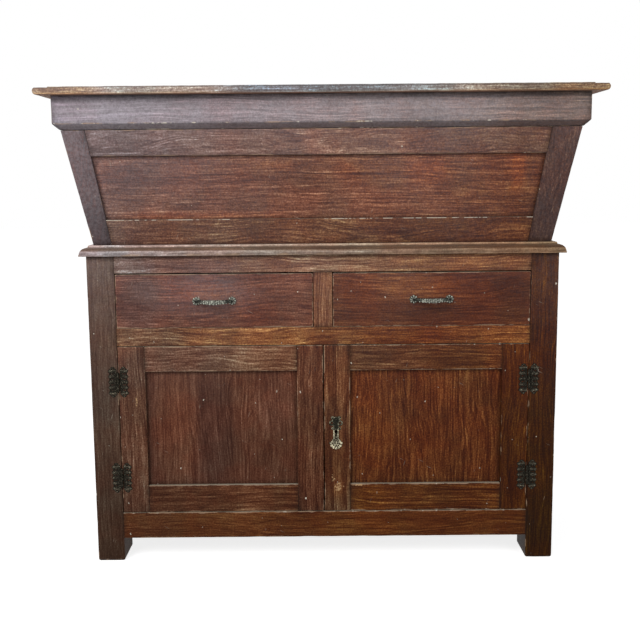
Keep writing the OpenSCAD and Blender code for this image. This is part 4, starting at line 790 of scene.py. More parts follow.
# A face of at least this many square metres gets a rim of points, and at most this many faces of a board do
LARGE_FACE = 6e-4
MOST_FACES = 10

# Rounding of an arris that another board closes off, as a share of an open one's
CLOSED_ROUNDING = 0.45

# The grain's own direction, the one across the board and the one through it
GRAIN = {
    "x": ((1, 0, 0), (0, 0, 1), (0, 1, 0)),
    "y": ((0, 1, 0), (0, 0, 1), (1, 0, 0)),
    "z": ((0, 0, 1), (1, 0, 0), (0, 1, 0)),
}


def merged_copy(node):
    """The CAD node's mesh with its triangles joined into whole faces."""
    bm = bmesh.new()
    bm.from_mesh(frame["nodes"][node].data)
    bmesh.ops.remove_doubles(bm, verts=bm.verts, dist=0.02 * MM)
    bmesh.ops.dissolve_limit(bm, angle_limit=math.radians(0.8), verts=bm.verts, edges=bm.edges)
    bm.edges.layers.float.new("bevel_weight_edge")
    return bm


def part_at(bm, cuts):
    """The solid parted at planes across an axis, as a list of closed solids."""
    parts = [bm]
    for axis, value in cuts:
        normal = Vector([1.0 if i == axis else 0.0 for i in range(3)])
        rest = parts.pop()
        for side in (1, -1):
            half = rest.copy()
            geometry = half.verts[:] + half.edges[:] + half.faces[:]
            bmesh.ops.bisect_plane(half, geom=geometry, dist=1e-6, plane_co=normal * value,
                                   plane_no=normal * side, clear_outer=True)
            bmesh.ops.holes_fill(half, edges=half.edges, sides=0)
            bmesh.ops.recalc_face_normals(half, faces=half.faces)
            parts.append(half)
        rest.free()
    return parts


# Search trees that have been made, by node
TREES = {}


def solid_tree(node):
    """A search tree over a CAD node's triangles, with the node's box."""
    if node not in TREES:
        mesh = frame["nodes"][node].data
        points = [v.co.copy() for v in mesh.vertices]
        TREES[node] = (BVHTree.FromPolygons(points, [tuple(p.vertices) for p in mesh.polygons]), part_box(node))
    return TREES[node]


def neighbours(node):
    """The wooden nodes of the same body that come near a node."""
    lo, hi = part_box(node)
    found = []
    for other in BOARDS:
        if other == node or BODY_OF[other] != BODY_OF[node]:
            continue
        o_lo, o_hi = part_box(other)
        if all(lo[i] - NEAR_BOARD < o_hi[i] and o_lo[i] < hi[i] + NEAR_BOARD for i in range(3)):
            found.append(other)
    return found


def inside_any(point, others):
    """True where a point lies inside one of the solids."""
    for other in others:
        tree, (lo, hi) = solid_tree(other)
        if all(lo[i] <= point[i] <= hi[i] for i in range(3)):
            spot, normal = tree.find_nearest(point)[:2]
            if (point - spot).dot(normal) < 0:
                return True
    return False


def sharp_edges(bm, shortest):
    """The outward arrises that are long enough to be rounded."""
    found = []
    for edge in bm.edges:
        if len(edge.link_faces) == 2 and edge.calc_length() > shortest * MM:
            if edge.calc_face_angle_signed(0) > math.radians(ARRIS_ANGLE):
                found.append(edge)
    return found


def hollow_edges(bm):
    """The inward corners of the board itself, where dirt gathers."""
    return [e for e in bm.edges if len(e.link_faces) == 2 and e.calc_length() > 12 * MM
            and e.calc_face_angle_signed(0) < math.radians(HOLLOW_ANGLE)]


def arris_rows(edges, others):
    """For each arris its two ends and, step by step along it, whether another board closes it off."""
    rows = []
    for edge in edges:
        a, b = (v.co.copy() for v in edge.verts)
        n1, n2 = (f.normal for f in edge.link_faces)
        beside, outside = (n1 - n2) * 1.1 * MM, (n1 + n2) * 0.8 * MM
        steps = max(1, min(MOST_STEPS, round((b - a).length / ARRIS_STEP)))
        closed = []
        for i in range(steps):
            spot = a.lerp(b, (i + 0.5) / steps)
            probes = (spot + beside, spot - beside, spot + outside)
            closed.append(any(inside_any(p, others) for p in probes))
        rows.append((np.array(a), np.array(b), np.array(closed)))
    return rows


def arris_distances(points, rows):
    """Distance of each point to the nearest open arris and to the nearest closed one."""
    opened = np.full(len(points), 1.0)
    closed = np.full(len(points), 1.0)
    for a, b, shut in rows:
        along = b - a
        t = np.clip(((points - a) @ along) / (along @ along), 0, 1)
        gap = np.linalg.norm(points - a - t[:, None] * along, axis=1)
        step = np.minimum((t * len(shut)).astype(int), len(shut) - 1)
        is_shut = shut[step]
        opened = np.where(is_shut, opened, np.minimum(opened, gap))
        closed = np.where(is_shut, np.minimum(closed, gap), closed)
    return opened, closed


def waves(points, scale, seed):
    """Smooth pseudo-noise from about -1 to 1, the same in every run."""
    rng = np.random.default_rng(seed)
    total = np.zeros(len(points))
    for octave in range(4):
        for _ in range(3):
            direction = rng.normal(size=3)
            direction *= scale * 1.9**octave / np.linalg.norm(direction)
            total += np.sin(points @ direction + rng.uniform(0, 6.28)) * 0.6**octave
    return total / 3.3


def rounded(bm, open_edges, closed_edges, radius):
    """The solid with its arrises rounded, the closed ones less."""
    weight = bm.edges.layers.float["bevel_weight_edge"]
    for edge in open_edges:
        edge[weight] = 1.0
    for edge in closed_edges:
        edge[weight] = CLOSED_ROUNDING
    mesh = bpy.data.meshes.new("rounding")
    bm.to_mesh(mesh)
    bm.free()
    holder = in_scene("rounding", mesh)
    bevel = holder.modifiers.new("round", "BEVEL")
    bevel.limit_method = "WEIGHT"
    bevel.width = radius
    bevel.segments = 2
    bevel.use_clamp_overlap = False
    smooth = applied(holder)
    out = bmesh.new()
    out.from_mesh(smooth)
    bpy.data.meshes.remove(smooth)
    return out


def cut_planes(bm, planes):
    """Cuts every face along each plane, so that the marks have points to lie on."""
    for normal, point in planes:
        geometry = bm.verts[:] + bm.edges[:] + bm.faces[:]
        bmesh.ops.bisect_plane(bm, geom=geometry, dist=0.05 * MM, plane_co=point, plane_no=normal)


def grain_axes(grain):
    """Unit vectors with the grain, across the board and through it."""
    if grain in GRAIN:
        return tuple(Vector(axis) for axis in GRAIN[grain])
    with_grain, across = (Vector(v).normalized() for v in grain)
    return with_grain, across, with_grain.cross(across)


def layout_planes(bm, board, axes):
    """Planes just inside the large faces, and an even grid over the board."""
    seen = []
    planes = []
    for face in sorted(bm.faces, key=lambda f: -f.calc_area()):
        if face.calc_area() < LARGE_FACE or len(seen) >= MOST_FACES:
            break
        offset = face.normal.dot(face.verts[0].co)
        if any(face.normal.dot(n) > 0.999 and abs(offset - o) < 1 * MM for n, o in seen):
            continue
        seen.append((face.normal.copy(), offset))
        if board.fine:
            planes.append((face.normal.copy(), face.normal * (offset - 4 * MM)))
    points = np.array([v.co for v in bm.verts])
    for axis, step in zip(axes, FINE_GRID if board.fine else COARSE_GRID):
        reach = points @ np.array(axis)
        start, length = reach.min(), np.ptp(reach)
        count = int(length / step)
        for i in range(1, count):
            planes.append((axis, axis * (start + length * i / count)))
    return planes


def spread(points, x, z, half_w, half_h):
    """How much of a soft oval patch covers each point."""
    reach = ((points[:, 0] - x) / half_w) ** 2 + ((points[:, 2] - z) / half_h) ** 2
    return rise(1.25 - reach, 0, 1)


def patches_on(node, patches):
    """The rows of a list of patches that lie on a node."""
    return [row for names, rows in patches.items() if node.startswith(names) for row in rows]


def stain_at(node, points, colour):
    """The stain at each point: the board's own colour with painted light and shade and the broad changes over
    it.
    """
    # painted light and shade: lighter up and to the left over the whole front
    stain = np.array(colour) * np.exp(
        points[:, :1] * np.array(PAINTED_LIGHT_ACROSS) + (points[:, 2:] - MIDDLE_Z) * np.array(PAINTED_LIGHT_UPWARD))
    for *place, factor in patches_on(node, STAINS):
        stain *= 1 + (np.array(factor) - 1) * spread(points, *place)[:, None]
    return stain


def scaled_at(patches, node, points, amount):
    """An amount at each point: the board's own, changed where a patch lies over it."""
    values = np.full(len(points), float(amount))
    for *place, factor in patches_on(node, patches):
        values *= 1 + (factor - 1) * spread(points, *place)
    return values


def other_distances(piece, points, others, hollows):
    """Distance of each point to the nearest other board or inward corner, as far as the marks reach."""
    nearest = np.full(len(points), NEAR_BOARD)
    for other in others:
        tree = solid_tree(other)[0]
        for i, vert in enumerate(piece.verts):
            gap = tree.find_nearest(vert.co + vert.normal * 1.0 * MM, nearest[i])[3]
            if gap is not None:
                nearest[i] = min(nearest[i], gap)
    if hollows:
        nearest = np.minimum(nearest, arris_distances(points, hollows)[0] + 1.5 * MM)
    return nearest


def dent_arrises(piece, points, normals, to_open, depth):
    """Presses shallow dents into the open arrises."""
    dents = np.clip(1 - to_open / (3 * MM), 0, 1) * np.clip(waves(points, 260, 3) - 0.15, 0, 1)
    dents = dents * depth * 2.2 * MM
    for vert, dent, normal in zip(piece.verts, dents, normals):
        if dent > 0:
            vert.co -= Vector(normal) * dent


def board_coordinates(points, axes, pith, rng):
    """Place of each point along the grain, and across and through the board from its pith."""
    width = np.ptp(points @ np.array(axes[1]))
    pith = pith or (rng.uniform(-0.5, 0.5) * width, rng.uniform(0.03, 0.09))
    middle = Vector(points.mean(0))
    local = (points - np.array(middle)) @ np.array([list(a) for a in axes]).T
    return local + np.array([rng.uniform(0, 40), pith[0], pith[1]])


def stain_and_skin(node, points, normals, colour):
    """Stain with painted shade on what looks down and the wear; bloom with painted sheen, figure, chalk,
    warmth.
    """
    board = BOARDS[node]
    downward = rise(-normals[:, 2], 0.2, 0.65)
    below = rise(-normals[:, 2], 0.8, 0.95)
    plain = np.array(colour) * np.array(board.beneath)
    stain = stain_at(node, points, colour) * (1 - below)[:, None] + plain * below[:, None]
    # painted shade on what looks down, or painted light where the factor is above 1
    stain *= (1 - (1 - board.under) * downward)[:, None]
    skin = np.column_stack([
        scaled_at(BLOOMS_AND_SHEEN, node, points, board.bloom) * (1 - 0.6 * below),
        board.figure * (1 - 0.45 * downward),
        scaled_at(CHIPS, node, points, board.chalk),
        np.full(len(points), board.warm),
    ])
    return np.column_stack([stain, np.full(len(points), board.wear)]), skin


def make_board(node, finish):
    """The finished wooden piece that stands for one CAD node."""
    board = BOARDS[node]
    colour = [c * s for c, s in zip(getattr(finish, SLOT_OF[node]), board.stain)]
    others = neighbours(node)
    axes = grain_axes(board.grain)
    middle_z = (low(node, 2) + high(node, 2)) / 2 - 20 * MM
    rng = random.Random(node)
    whole = bmesh.new()
    values = {name: [] for name in POINT_VALUES}
    for part in part_at(merged_copy(node), board.cuts):
        for piece in loose_parts(part):
            edges = sharp_edges(piece, board.shortest)
            rows = arris_rows(edges, others)
            hollows = arris_rows(hollow_edges(piece), [])
            closed = [e for e, row in zip(edges, rows) if row[2].mean() > 0.5]
            opened = [e for e, row in zip(edges, rows) if row[2].mean() <= 0.5]
            if SLOT_OF[node] != "wood_inside" or board.fine:
                piece = rounded(piece, opened, closed, board.radius * MM)
            cut_planes(piece, layout_planes(piece, board, axes))
            piece.normal_update()
            points = np.array([v.co for v in piece.verts])
            normals = np.array([v.normal for v in piece.verts])
            to_open, to_closed = arris_distances(points, rows)
            to_other = other_distances(piece, points, others if board.fine else [], hollows)
            dent_arrises(piece, points, normals, to_open, board.chip)
            values["board"].append(board_coordinates(points, axes, board.pith, rng))
            own = colour
            if board.cuts:
                shift = rng.uniform(0.85, 1.15)
                own = [c * shift for c in colour]
            elif points[:, 2].mean() < middle_z:
                own = [c * f for c, f in zip(colour, board.lower)]
            stain, skin = stain_and_skin(node, points, normals, own)
            values["stain"].append(stain)
            values["skin"].append(skin)
            values["sway"].append(np.full(len(points), board.sway))
            values["marks"].append(np.column_stack([
                to_open / NEAR_ARRIS, to_closed / NEAR_ARRIS, to_other / NEAR_BOARD,
                rise(normals[:, 2], 0.72, 0.95) * board.dust,
            ]))
            mesh = bpy.data.meshes.new("part")
            piece.to_mesh(mesh)
            piece.free()
            whole.from_mesh(mesh)
            bpy.data.meshes.remove(mesh)
    smooth_shading(whole, sharp=34)
    mesh = bpy.data.meshes.new(node + "_wood")
    whole.to_mesh(mesh)
    whole.free()
    for name, (kind, key) in POINT_VALUES.items():
        mesh.attributes.new(name, kind, "POINT").data.foreach_set(key, np.concatenate(values[name]).ravel())
    dress(node, mesh)


def loose_parts(bm):
    """The separate closed solids of a mesh, each as its own mesh."""
    bm.verts.index_update()
    bm.verts.ensure_lookup_table()
    seen = set()
    groups = []
    for vert in bm.verts:
        if vert.index in seen:
            continue
        stack, island = [vert], set()
        while stack:
            v = stack.pop()
            if v.index in island:
                continue
            island.add(v.index)
            stack.extend(e.other_vert(v) for e in v.link_edges)
        seen |= island
        groups.append(island)
    if len(groups) == 1:
        return [bm]
    parts = []
    for island in groups:
        part = bm.copy()
        part.verts.ensure_lookup_table()
        bmesh.ops.delete(part, geom=[v for v in part.verts if v.index not in island], context="VERTS")
        parts.append(part)
    bm.free()
    return parts


# Flat outlines, as signed distances in millimetres

def disc(x, z, centre_x, centre_z, radius):
    """Signed distance to a disc."""
    return np.hypot(x - centre_x, z - centre_z) - radius


def slab(x, z, x0, x1, z0, z1):
    """Signed distance to a rectangle."""
    out_x, out_z = np.maximum(x0 - x, x - x1), np.maximum(z0 - z, z - z1)
    return np.hypot(np.maximum(out_x, 0), np.maximum(out_z, 0)) + np.minimum(np.maximum(out_x, out_z), 0)


def joined(*distances):
    """Signed distance to several shapes together."""
    return np.minimum.reduce(distances)


def bump_at(distance, width):
    """A round hump where a distance is near 0."""
    return np.exp(-((distance / width) ** 2))


def rise(value, start, end):
    """A smooth step from 0 to 1."""
    t = np.clip((value - start) / (end - start), 0, 1)
    return t * t * (3 - 2 * t)


# Castings: closed shells collected into one mesh, with how far each point stands out

class Casting:
    """Closed shells of one fitting, in millimetres from its own centre."""

    def __init__(self):
        self.points = []
        self.faces = []
        self.raised = []

    def add(self, points, faces, raised, place=(0, 0, 0)):
        """Adds a shell moved to its place."""
        start = sum(len(p) for p in self.points)
        self.points.append(np.asarray(points, float) + np.asarray(place, float))
        self.faces += [tuple(start + i for i in face) for face in faces]
        self.raised.append(np.broadcast_to(raised, len(points)).astype(float))

    def add_mesh(self, mesh, raised):
        """Adds a grown motif, which is in metres, and frees it."""
        points = np.array([v.co for v in mesh.vertices]) / MM
        self.add(points, [tuple(p.vertices) for p in mesh.polygons], raised)
        bpy.data.meshes.remove(mesh)


def relief_plate(shape, height, x_range, z_range, step):
    """A plate with a flat back and a modelled front: points, faces and how far each point stands out."""
    x, z = np.meshgrid(np.arange(x_range[0], x_range[1] + step, step),
                       np.arange(z_range[0], z_range[1] + step, step), indexing="ij")
    inside = shape(x, z) < 0
    cell = inside[:-1, :-1] | inside[1:, :-1] | inside[:-1, 1:] | inside[1:, 1:]
    for _ in range(3):
        a, b, c, d = cell[:-1, :-1], cell[1:, 1:], cell[1:, :-1], cell[:-1, 1:]
        crossed = (a & b & ~c & ~d) | (c & d & ~a & ~b)
        cell[:-1, :-1] |= crossed
        cell[1:, :-1] |= crossed
    used = np.zeros(x.shape, bool)
    for i, j in ((0, 0), (1, 0), (0, 1), (1, 1)):
        used[i:i + cell.shape[0], j:j + cell.shape[1]] |= cell
    edge = used & ~inside
    tiny = 0.02
    for _ in range(4):
        gap = shape(x, z)
        slope_x = (shape(x + tiny, z) - shape(x - tiny, z)) / (2 * tiny)
        slope_z = (shape(x, z + tiny) - shape(x, z - tiny)) / (2 * tiny)
        move = np.where(edge, np.clip(gap, -step, step), 0) / np.maximum(slope_x**2 + slope_z**2, 0.3)
        x = x - move * slope_x
        z = z - move * slope_z
    tall = height(x, z)
    number = np.cumsum(used.ravel()).reshape(used.shape) - 1
    count = int(used.sum())
    front = np.column_stack([x[used], -tall[used], z[used]])
    back = np.column_stack([x[used], np.zeros(count), z[used]])
    faces = []
    padded = np.pad(cell, 1)
    for i, j in zip(*np.nonzero(cell)):
        quad = [int(number[place]) for place in ((i, j), (i + 1, j), (i + 1, j + 1), (i, j + 1))]
        faces.append(tuple(quad))
        faces.append(tuple(count + k for k in reversed(quad)))
        beside = (padded[i + 1, j], padded[i + 2, j + 1], padded[i + 1, j + 2], padded[i, j + 1])
        for k, shared in enumerate(beside):
            if not shared:
                a, b = quad[k], quad[(k + 1) % 4]
                faces.append((b, a, count + a, count + b))
    level = (tall[used] - tall[used].min()) / max(np.ptp(tall[used]), 1e-6)
    return np.vstack([front, back]), faces, np.concatenate([level, np.zeros(count)])


def ring_faces(count, around):
    """Faces of a closed shell of rings of points, with a cap at both ends."""
    faces = []
    for k in range(count - 1):
        for i in range(around):
            j = (i + 1) % around
            faces.append((k * around + i, k * around + j, (k + 1) * around + j, (k + 1) * around + i))
    last = (count - 1) * around
    return [*faces, tuple(range(around)), tuple(last + i for i in reversed(range(around)))]


def turned(profile, axis, around=20, lobes=0, lobe_depth=0.0):
    """A turned shell from a list of radius and distance along the axis, with poles at both ends."""
    rings = []
    for radius, along in profile:
        angle = np.arange(around) * 2 * math.pi / around
        r = radius * (1 + lobe_depth * np.cos(lobes * angle))
        columns = [r * np.cos(angle), r * np.sin(angle)]
        columns.insert(2 if axis == "z" else 1, np.full(around, along))
        rings.append(np.column_stack(columns))
    radii = np.repeat([p[0] for p in profile], around)
    return np.vstack(rings), ring_faces(len(rings), around), rise(radii, radii.max() * 0.75, radii.max())


def swept(centre, half_high, half_deep, ribs, around=14):
    """A closed bar along a path in the XY plane, oval across, with ribs over its front."""
    count = len(centre)
    ahead = np.gradient(centre, axis=0)
    ahead /= np.linalg.norm(ahead, axis=1)[:, None]
    outward = np.column_stack([ahead[:, 1], -ahead[:, 0], np.zeros(count)])
    upward = np.array([0.0, 0.0, 1.0])
    angle = np.arange(around) * 2 * math.pi / around
    oval = np.sign(np.cos(angle)) * np.abs(np.cos(angle)) ** 0.8
    rings = []
    for i in range(count):
        out = half_deep[i] * oval * (1 + ribs[i] * np.maximum(oval, 0))
        high = half_high[i][0] + half_high[i][1] * np.sin(angle)
        rings.append(centre[i] + out[:, None] * outward[i] + high[:, None] * upward)
    front = np.tile(rise(np.cos(angle), -0.2, 0.9), count)
    crest = np.repeat(rise(np.asarray(ribs), -0.1, 0.2), around)
    return np.vstack(rings), ring_faces(count, around), front * (0.45 + 0.55 * crest)


# Repeated motifs, grown on points by small node trees

def motif_tree(name, inputs):
    """A tree that changes geometry, with named inputs and the material as the last."""
    tree, given, made = group(name, [("Geometry", SHAPE, None), *inputs, ("Material", FINISH, None)],
                              [("Geometry", SHAPE)], "GeometryNodeTree")
    tree.is_modifier = True
    return tree, given, made


def finish_motif(tree, given, made, motif, **feeds):
    """Sets a motif on the given points, makes it real, gives it the material and sends it out."""
    points = given["Geometry"]
    placed = put(tree, "GeometryNodeInstanceOnPoints", {"Points": points, "Instance": motif, **feeds})
    real = put(tree, "GeometryNodeRealizeInstances", {0: placed})
    dressed = put(tree, "GeometryNodeSetMaterial", {0: real, "Material": given["Material"]})
    fill(tree, made[0], dressed)


def make_nail_tree():
    """Hand-made nails: a dome on a shank, each turned and squeezed a little differently."""
    tree, given, made = motif_tree("nails", [
        ("Head Radius", FLOAT, 2 * MM), ("Head Height", FLOAT, 1.2 * MM), ("Shank Radius", FLOAT, 0.9 * MM),
        ("Shank Length", FLOAT, 12 * MM), ("Seed", WHOLE, 4)])
    dome_size = put(tree, "ShaderNodeCombineXYZ", {
        0: given["Head Radius"], 1: given["Head Radius"], 2: given["Head Height"]})
    ball = put(tree, "GeometryNodeMeshUVSphere", {"Segments": 14, "Rings": 8, "Radius": 1.0})
    dome = put(tree, "GeometryNodeTransform", {0: ball, "Scale": dome_size})
    rod = put(tree, "GeometryNodeMeshCylinder", {
        "Vertices": 8, "Radius": given["Shank Radius"], "Depth": given["Shank Length"]})
    down = put(tree, "ShaderNodeCombineXYZ", {2: times(tree, given["Shank Length"], -0.5)})
    shank = put(tree, "GeometryNodeTransform", {0: rod, "Translation": down})
    motif = put(tree, "GeometryNodeJoinGeometry")
    for shell in (dome, shank):
        fill(tree, motif.inputs[0], shell)
    facing = put(tree, "GeometryNodeInputNamedAttribute", {"Name": "facing"}, data_type="FLOAT_VECTOR")
    turn = put(tree, "FunctionNodeAlignRotationToVector", {"Vector": facing}, axis="Z")
    squeeze = put(tree, "FunctionNodeRandomValue", {
        0: (0.86, 0.86, 0.9), 1: (1.08, 1.08, 1.1), "Seed": given["Seed"]}, data_type="FLOAT_VECTOR")
    finish_motif(tree, given, made, motif, Rotation=turn, Scale=squeeze)


def make_bead_tree():
    """A straight row of beads on every point."""
    tree, given, made = motif_tree("bead_row", [
        ("Count", WHOLE, 5), ("Spacing", FLOAT, 2.4 * MM), ("Bead Radius", FLOAT, 0.9 * MM),
        ("Flatness", FLOAT, 0.7)])
    half = times(tree, calc(tree, "SUBTRACT", given["Count"], 1.0), -0.5)
    start = put(tree, "ShaderNodeCombineXYZ", {0: times(tree, half, given["Spacing"])})
    offset = put(tree, "ShaderNodeCombineXYZ", {0: given["Spacing"]})
    row = put(tree, "GeometryNodeMeshLine", {
        "Count": given["Count"], "Start Location": start, "Offset": offset})
    ball = put(tree, "GeometryNodeMeshIcoSphere", {"Radius": given["Bead Radius"], "Subdivisions": 2})
    flat = put(tree, "ShaderNodeCombineXYZ", {0: 1.0, 1: given["Flatness"], 2: 1.0})
    beads = put(tree, "GeometryNodeInstanceOnPoints", {"Points": row, "Instance": ball, "Scale": flat})
    finish_motif(tree, given, made, beads)


def make_petal_tree():
    """A ring of petals round every point, facing the front."""
    tree, given, made = motif_tree("petal_ring", [
        ("Petals", WHOLE, 8), ("Ring Radius", FLOAT, 5 * MM),
        ("Petal Size", VECTOR, (2.6 * MM, 1.7 * MM, 1.2 * MM))])
    ring = put(tree, "GeometryNodeMeshCircle", {
        "Vertices": given["Petals"], "Radius": given["Ring Radius"]})
    ball = put(tree, "GeometryNodeMeshUVSphere", {"Segments": 12, "Rings": 8, "Radius": 1.0})
    petal = put(tree, "GeometryNodeTransform", {0: ball, "Scale": given["Petal Size"]})
    place = put(tree, "GeometryNodeInputPosition")
    turn = put(tree, "FunctionNodeAlignRotationToVector", {"Vector": place}, axis="X", pivot_axis="Z")
    petals = put(tree, "GeometryNodeInstanceOnPoints", {"Points": ring, "Instance": petal, "Rotation": turn})
    upright = put(tree, "GeometryNodeTransform", {0: petals, "Rotation": (math.pi / 2, 0, 0)})
    finish_motif(tree, given, made, upright)


def grow(name, places, material, facing=None, **values):
    """The mesh that a motif tree makes on a list of points in metres."""
    mesh = bpy.data.meshes.new("places")
    mesh.from_pydata([tuple(p) for p in places], [], [])
    if facing is not None:
        ahead = mesh.attributes.new("facing", "FLOAT_VECTOR", "POINT")
        ahead.data.foreach_set("vector", np.asarray(facing, float).ravel())
    holder = in_scene("places", mesh)
    modifier = holder.modifiers.new("motif", "NODES")
    modifier.node_group = bpy.data.node_groups[name]
    values["Material"] = material
    for item in modifier.node_group.interface.items_tree:
        if item.in_out == "INPUT" and item.name.replace(" ", "_") in values:
            modifier[item.identifier] = values[item.name.replace(" ", "_")]
    return applied(holder)


def cast_object(node, casting):
    """Writes a casting as the piece that stands for one CAD node."""
    mesh = bpy.data.meshes.new(node + "_cast")
    points = np.vstack(casting.points) * MM
    mesh.from_pydata([tuple(p) for p in points], [], casting.faces)
    bm = bmesh.new()
    bm.from_mesh(mesh)
    level = bm.verts.layers.float.new("raised")
    bm.verts.ensure_lookup_table()
    for vert, value in zip(bm.verts, np.concatenate(casting.raised)):
        vert[level] = value
    bmesh.ops.remove_doubles(bm, verts=bm.verts, dist=0.0005 * MM)
    bmesh.ops.recalc_face_normals(bm, faces=bm.faces)
    smooth_shading(bm, sharp=50)
    bm.to_mesh(mesh)
    bm.free()
    dress(node, mesh)


# Door hinges, in millimetres

PLATE_SINK = 0.02
LEAF_X0 = 3.4
LEAF_OUT = 21.5
LEAF_H = 67.0
LEAF_LOBE = 4.3
LEAF_SQUARE = LEAF_H - 3.2 * LEAF_LOBE
LEAF_ROW = LEAF_SQUARE * 0.225
LEAF_T = 2.4
KNUCKLE_L = LEAF_H * 0.2
KNUCKLE_R = 3.0
HINGE_X = high("post_hinge_leaves", 0) / MM - LEAF_OUT
HINGE_Y = FRONT_Y / MM - KNUCKLE_R - 0.4
HINGE_ZS = (low("post_hinge_leaves", 2) / MM + LEAF_H / 2, high("post_hinge_leaves", 2) / MM - LEAF_H / 2)

# Radius of half a knuckle by the distance from its end, and of half a pin by the distance past the knuckles
HALF_KNUCKLE = [(1.0, 0.0), (2.5, 0.0), (2.9, 0.5), (2.9, 1.5), (2.45, 2.0), (2.65, 2.6)]
HALF_PIN = [(0.3, 3.4), (1.2, 3.0), (1.5, 2.2), (1.1, 1.5), (1.9, 1.0), (2.2, 0.4), (1.4, -0.1)]


def leaf_shape(x, z, arms):
    """Outline of a leaf on the right of the axis: lobes, a palmette at each end, arms to the knuckles."""
    parts = [slab(x, z, LEAF_X0, LEAF_OUT - LEAF_LOBE * 0.55, -LEAF_SQUARE / 2, LEAF_SQUARE / 2)]
    for i in range(-2, 3):
        parts.append(disc(x, z, LEAF_OUT - LEAF_LOBE, i * LEAF_ROW, LEAF_LOBE))
    up = np.abs(z)
    parts.append(disc(x, up, LEAF_X0 + LEAF_LOBE * 1.9, LEAF_H / 2 - LEAF_LOBE * 1.2, LEAF_LOBE * 1.2))
    parts.append(disc(x, up, LEAF_X0 + LEAF_LOBE * 0.8, LEAF_SQUARE / 2 - LEAF_LOBE * 0.2, LEAF_LOBE * 0.8))
    for start, end in arms:
        parts.append(slab(x, z, 0.2, LEAF_X0 + 1, start, end))
    holes = []
    for i in range(-2, 2):
        row = (i + 0.5) * LEAF_ROW
        holes.append(disc(x, z, LEAF_OUT - LEAF_LOBE * 1.75, row, 1.5))
        holes.append(disc(x, z, LEAF_X0 + 6.6, row + 0.6, 1.05))
    holes.append(disc(x, up, LEAF_X0 + LEAF_LOBE * 1.9, LEAF_H / 2 - LEAF_LOBE * 1.3, 1.3))
    return np.maximum(joined(*parts), -joined(*holes))


def leaf_height(x, z, arms):
    """Relief of a leaf: gadroons out to the lobes, a boss on each, ribs, and palmettes at the ends."""
    up = np.abs(z)
    tall = np.full(x.shape, 1.05)
    for i in range(-2, 3):
        row = i * LEAF_ROW
        along = rise(x, LEAF_X0 + 1.5, LEAF_OUT - 6)
        tall += 0.75 * along * bump_at(z - row - 0.8 * np.sin((x - LEAF_X0) * 0.25), 2.3)
        tall += 0.55 * bump_at(np.hypot(x - LEAF_OUT + LEAF_LOBE, z - row), 1.7)
        tall += 0.40 * bump_at(np.hypot(x - LEAF_X0 - 5.0, (z - row) * 0.7), 1.3)
    tall = np.where(up > LEAF_SQUARE / 2 - 1.5, 1.1, tall)
    tall += 0.7 * bump_at(up - LEAF_SQUARE / 2 + 1.2, 0.8)
    tall += 0.5 * bump_at(x - LEAF_X0 - 1.0, 0.7) * (up < LEAF_SQUARE / 2)
    around = np.arctan2(x - LEAF_X0 - LEAF_LOBE * 1.9, up - LEAF_SQUARE / 2 + 1)
    reach = np.hypot(x - LEAF_X0 - LEAF_LOBE * 1.9, up - LEAF_SQUARE / 2 + 1)
    petals = 0.5 + 0.5 * np.cos(around * 6.5)
    tall += np.where(up > LEAF_SQUARE / 2, 0.85 * petals * rise(reach, 1.0, 5.5), 0)
    edge = rise(-leaf_shape(x, z, arms), 0.0, 1.1)
    return np.minimum(tall, LEAF_T + 0.15) * (0.40 + 0.60 * edge)


def add_leaf(casting, side, place, knuckles):
    """One leaf with its knuckles; side is 1 on the right of the axis and -1 on the left."""
    arms = [(start * KNUCKLE_L + 0.2, end * KNUCKLE_L - 0.2) for start, end in knuckles]
    plate = relief_plate(
        lambda x, z: leaf_shape(side * x, z, arms), lambda x, z: leaf_height(side * x, z, arms),
        sorted((0, side * (LEAF_OUT + 1))), (-LEAF_H / 2 - 1, LEAF_H / 2 + 1), 0.55)
    casting.add(*plate, (place[0], FRONT_Y / MM - PLATE_SINK, place[1]))
    for start, end in arms:
        profile = [(radius, start + along) for radius, along in HALF_KNUCKLE]
        profile.append((2.9, (start + end) / 2))
        profile += [(radius, end - along) for radius, along in reversed(HALF_KNUCKLE)]
        points, faces, raised = turned(profile, "z")
        casting.add(points, faces, raised * 0.45, (place[0], HINGE_Y, place[1]))


def add_pin(casting, place):
    """The pin of one hinge with a turned finial at each end."""
    tip = 1.5 * KNUCKLE_L
    profile = [(radius, -tip - past) for radius, past in HALF_PIN]
    profile += [(radius, tip + past) for radius, past in reversed(HALF_PIN)]
    points, faces, raised = turned(profile, "z", 16)
    casting.add(points, faces, raised * 0.6, (place[0], HINGE_Y, place[1]))


def add_leaf_beads(casting, material, leaves):
    """A row of beads across each leaf below and above its palmettes."""
    middle = (LEAF_X0 + LEAF_OUT) / 2 - 0.6
    y = FRONT_Y - 1.5 * MM
    places = [((x + side * middle) * MM, y, (z + end * (LEAF_SQUARE / 2 - 1.2)) * MM)
              for x, z, side in leaves for end in (-1, 1)]
    beads = grow("bead_row", places, material,
                 Count=6, Spacing=2.35 * MM, Bead_Radius=0.95 * MM, Flatness=0.9)
    casting.add_mesh(beads, 1.0)


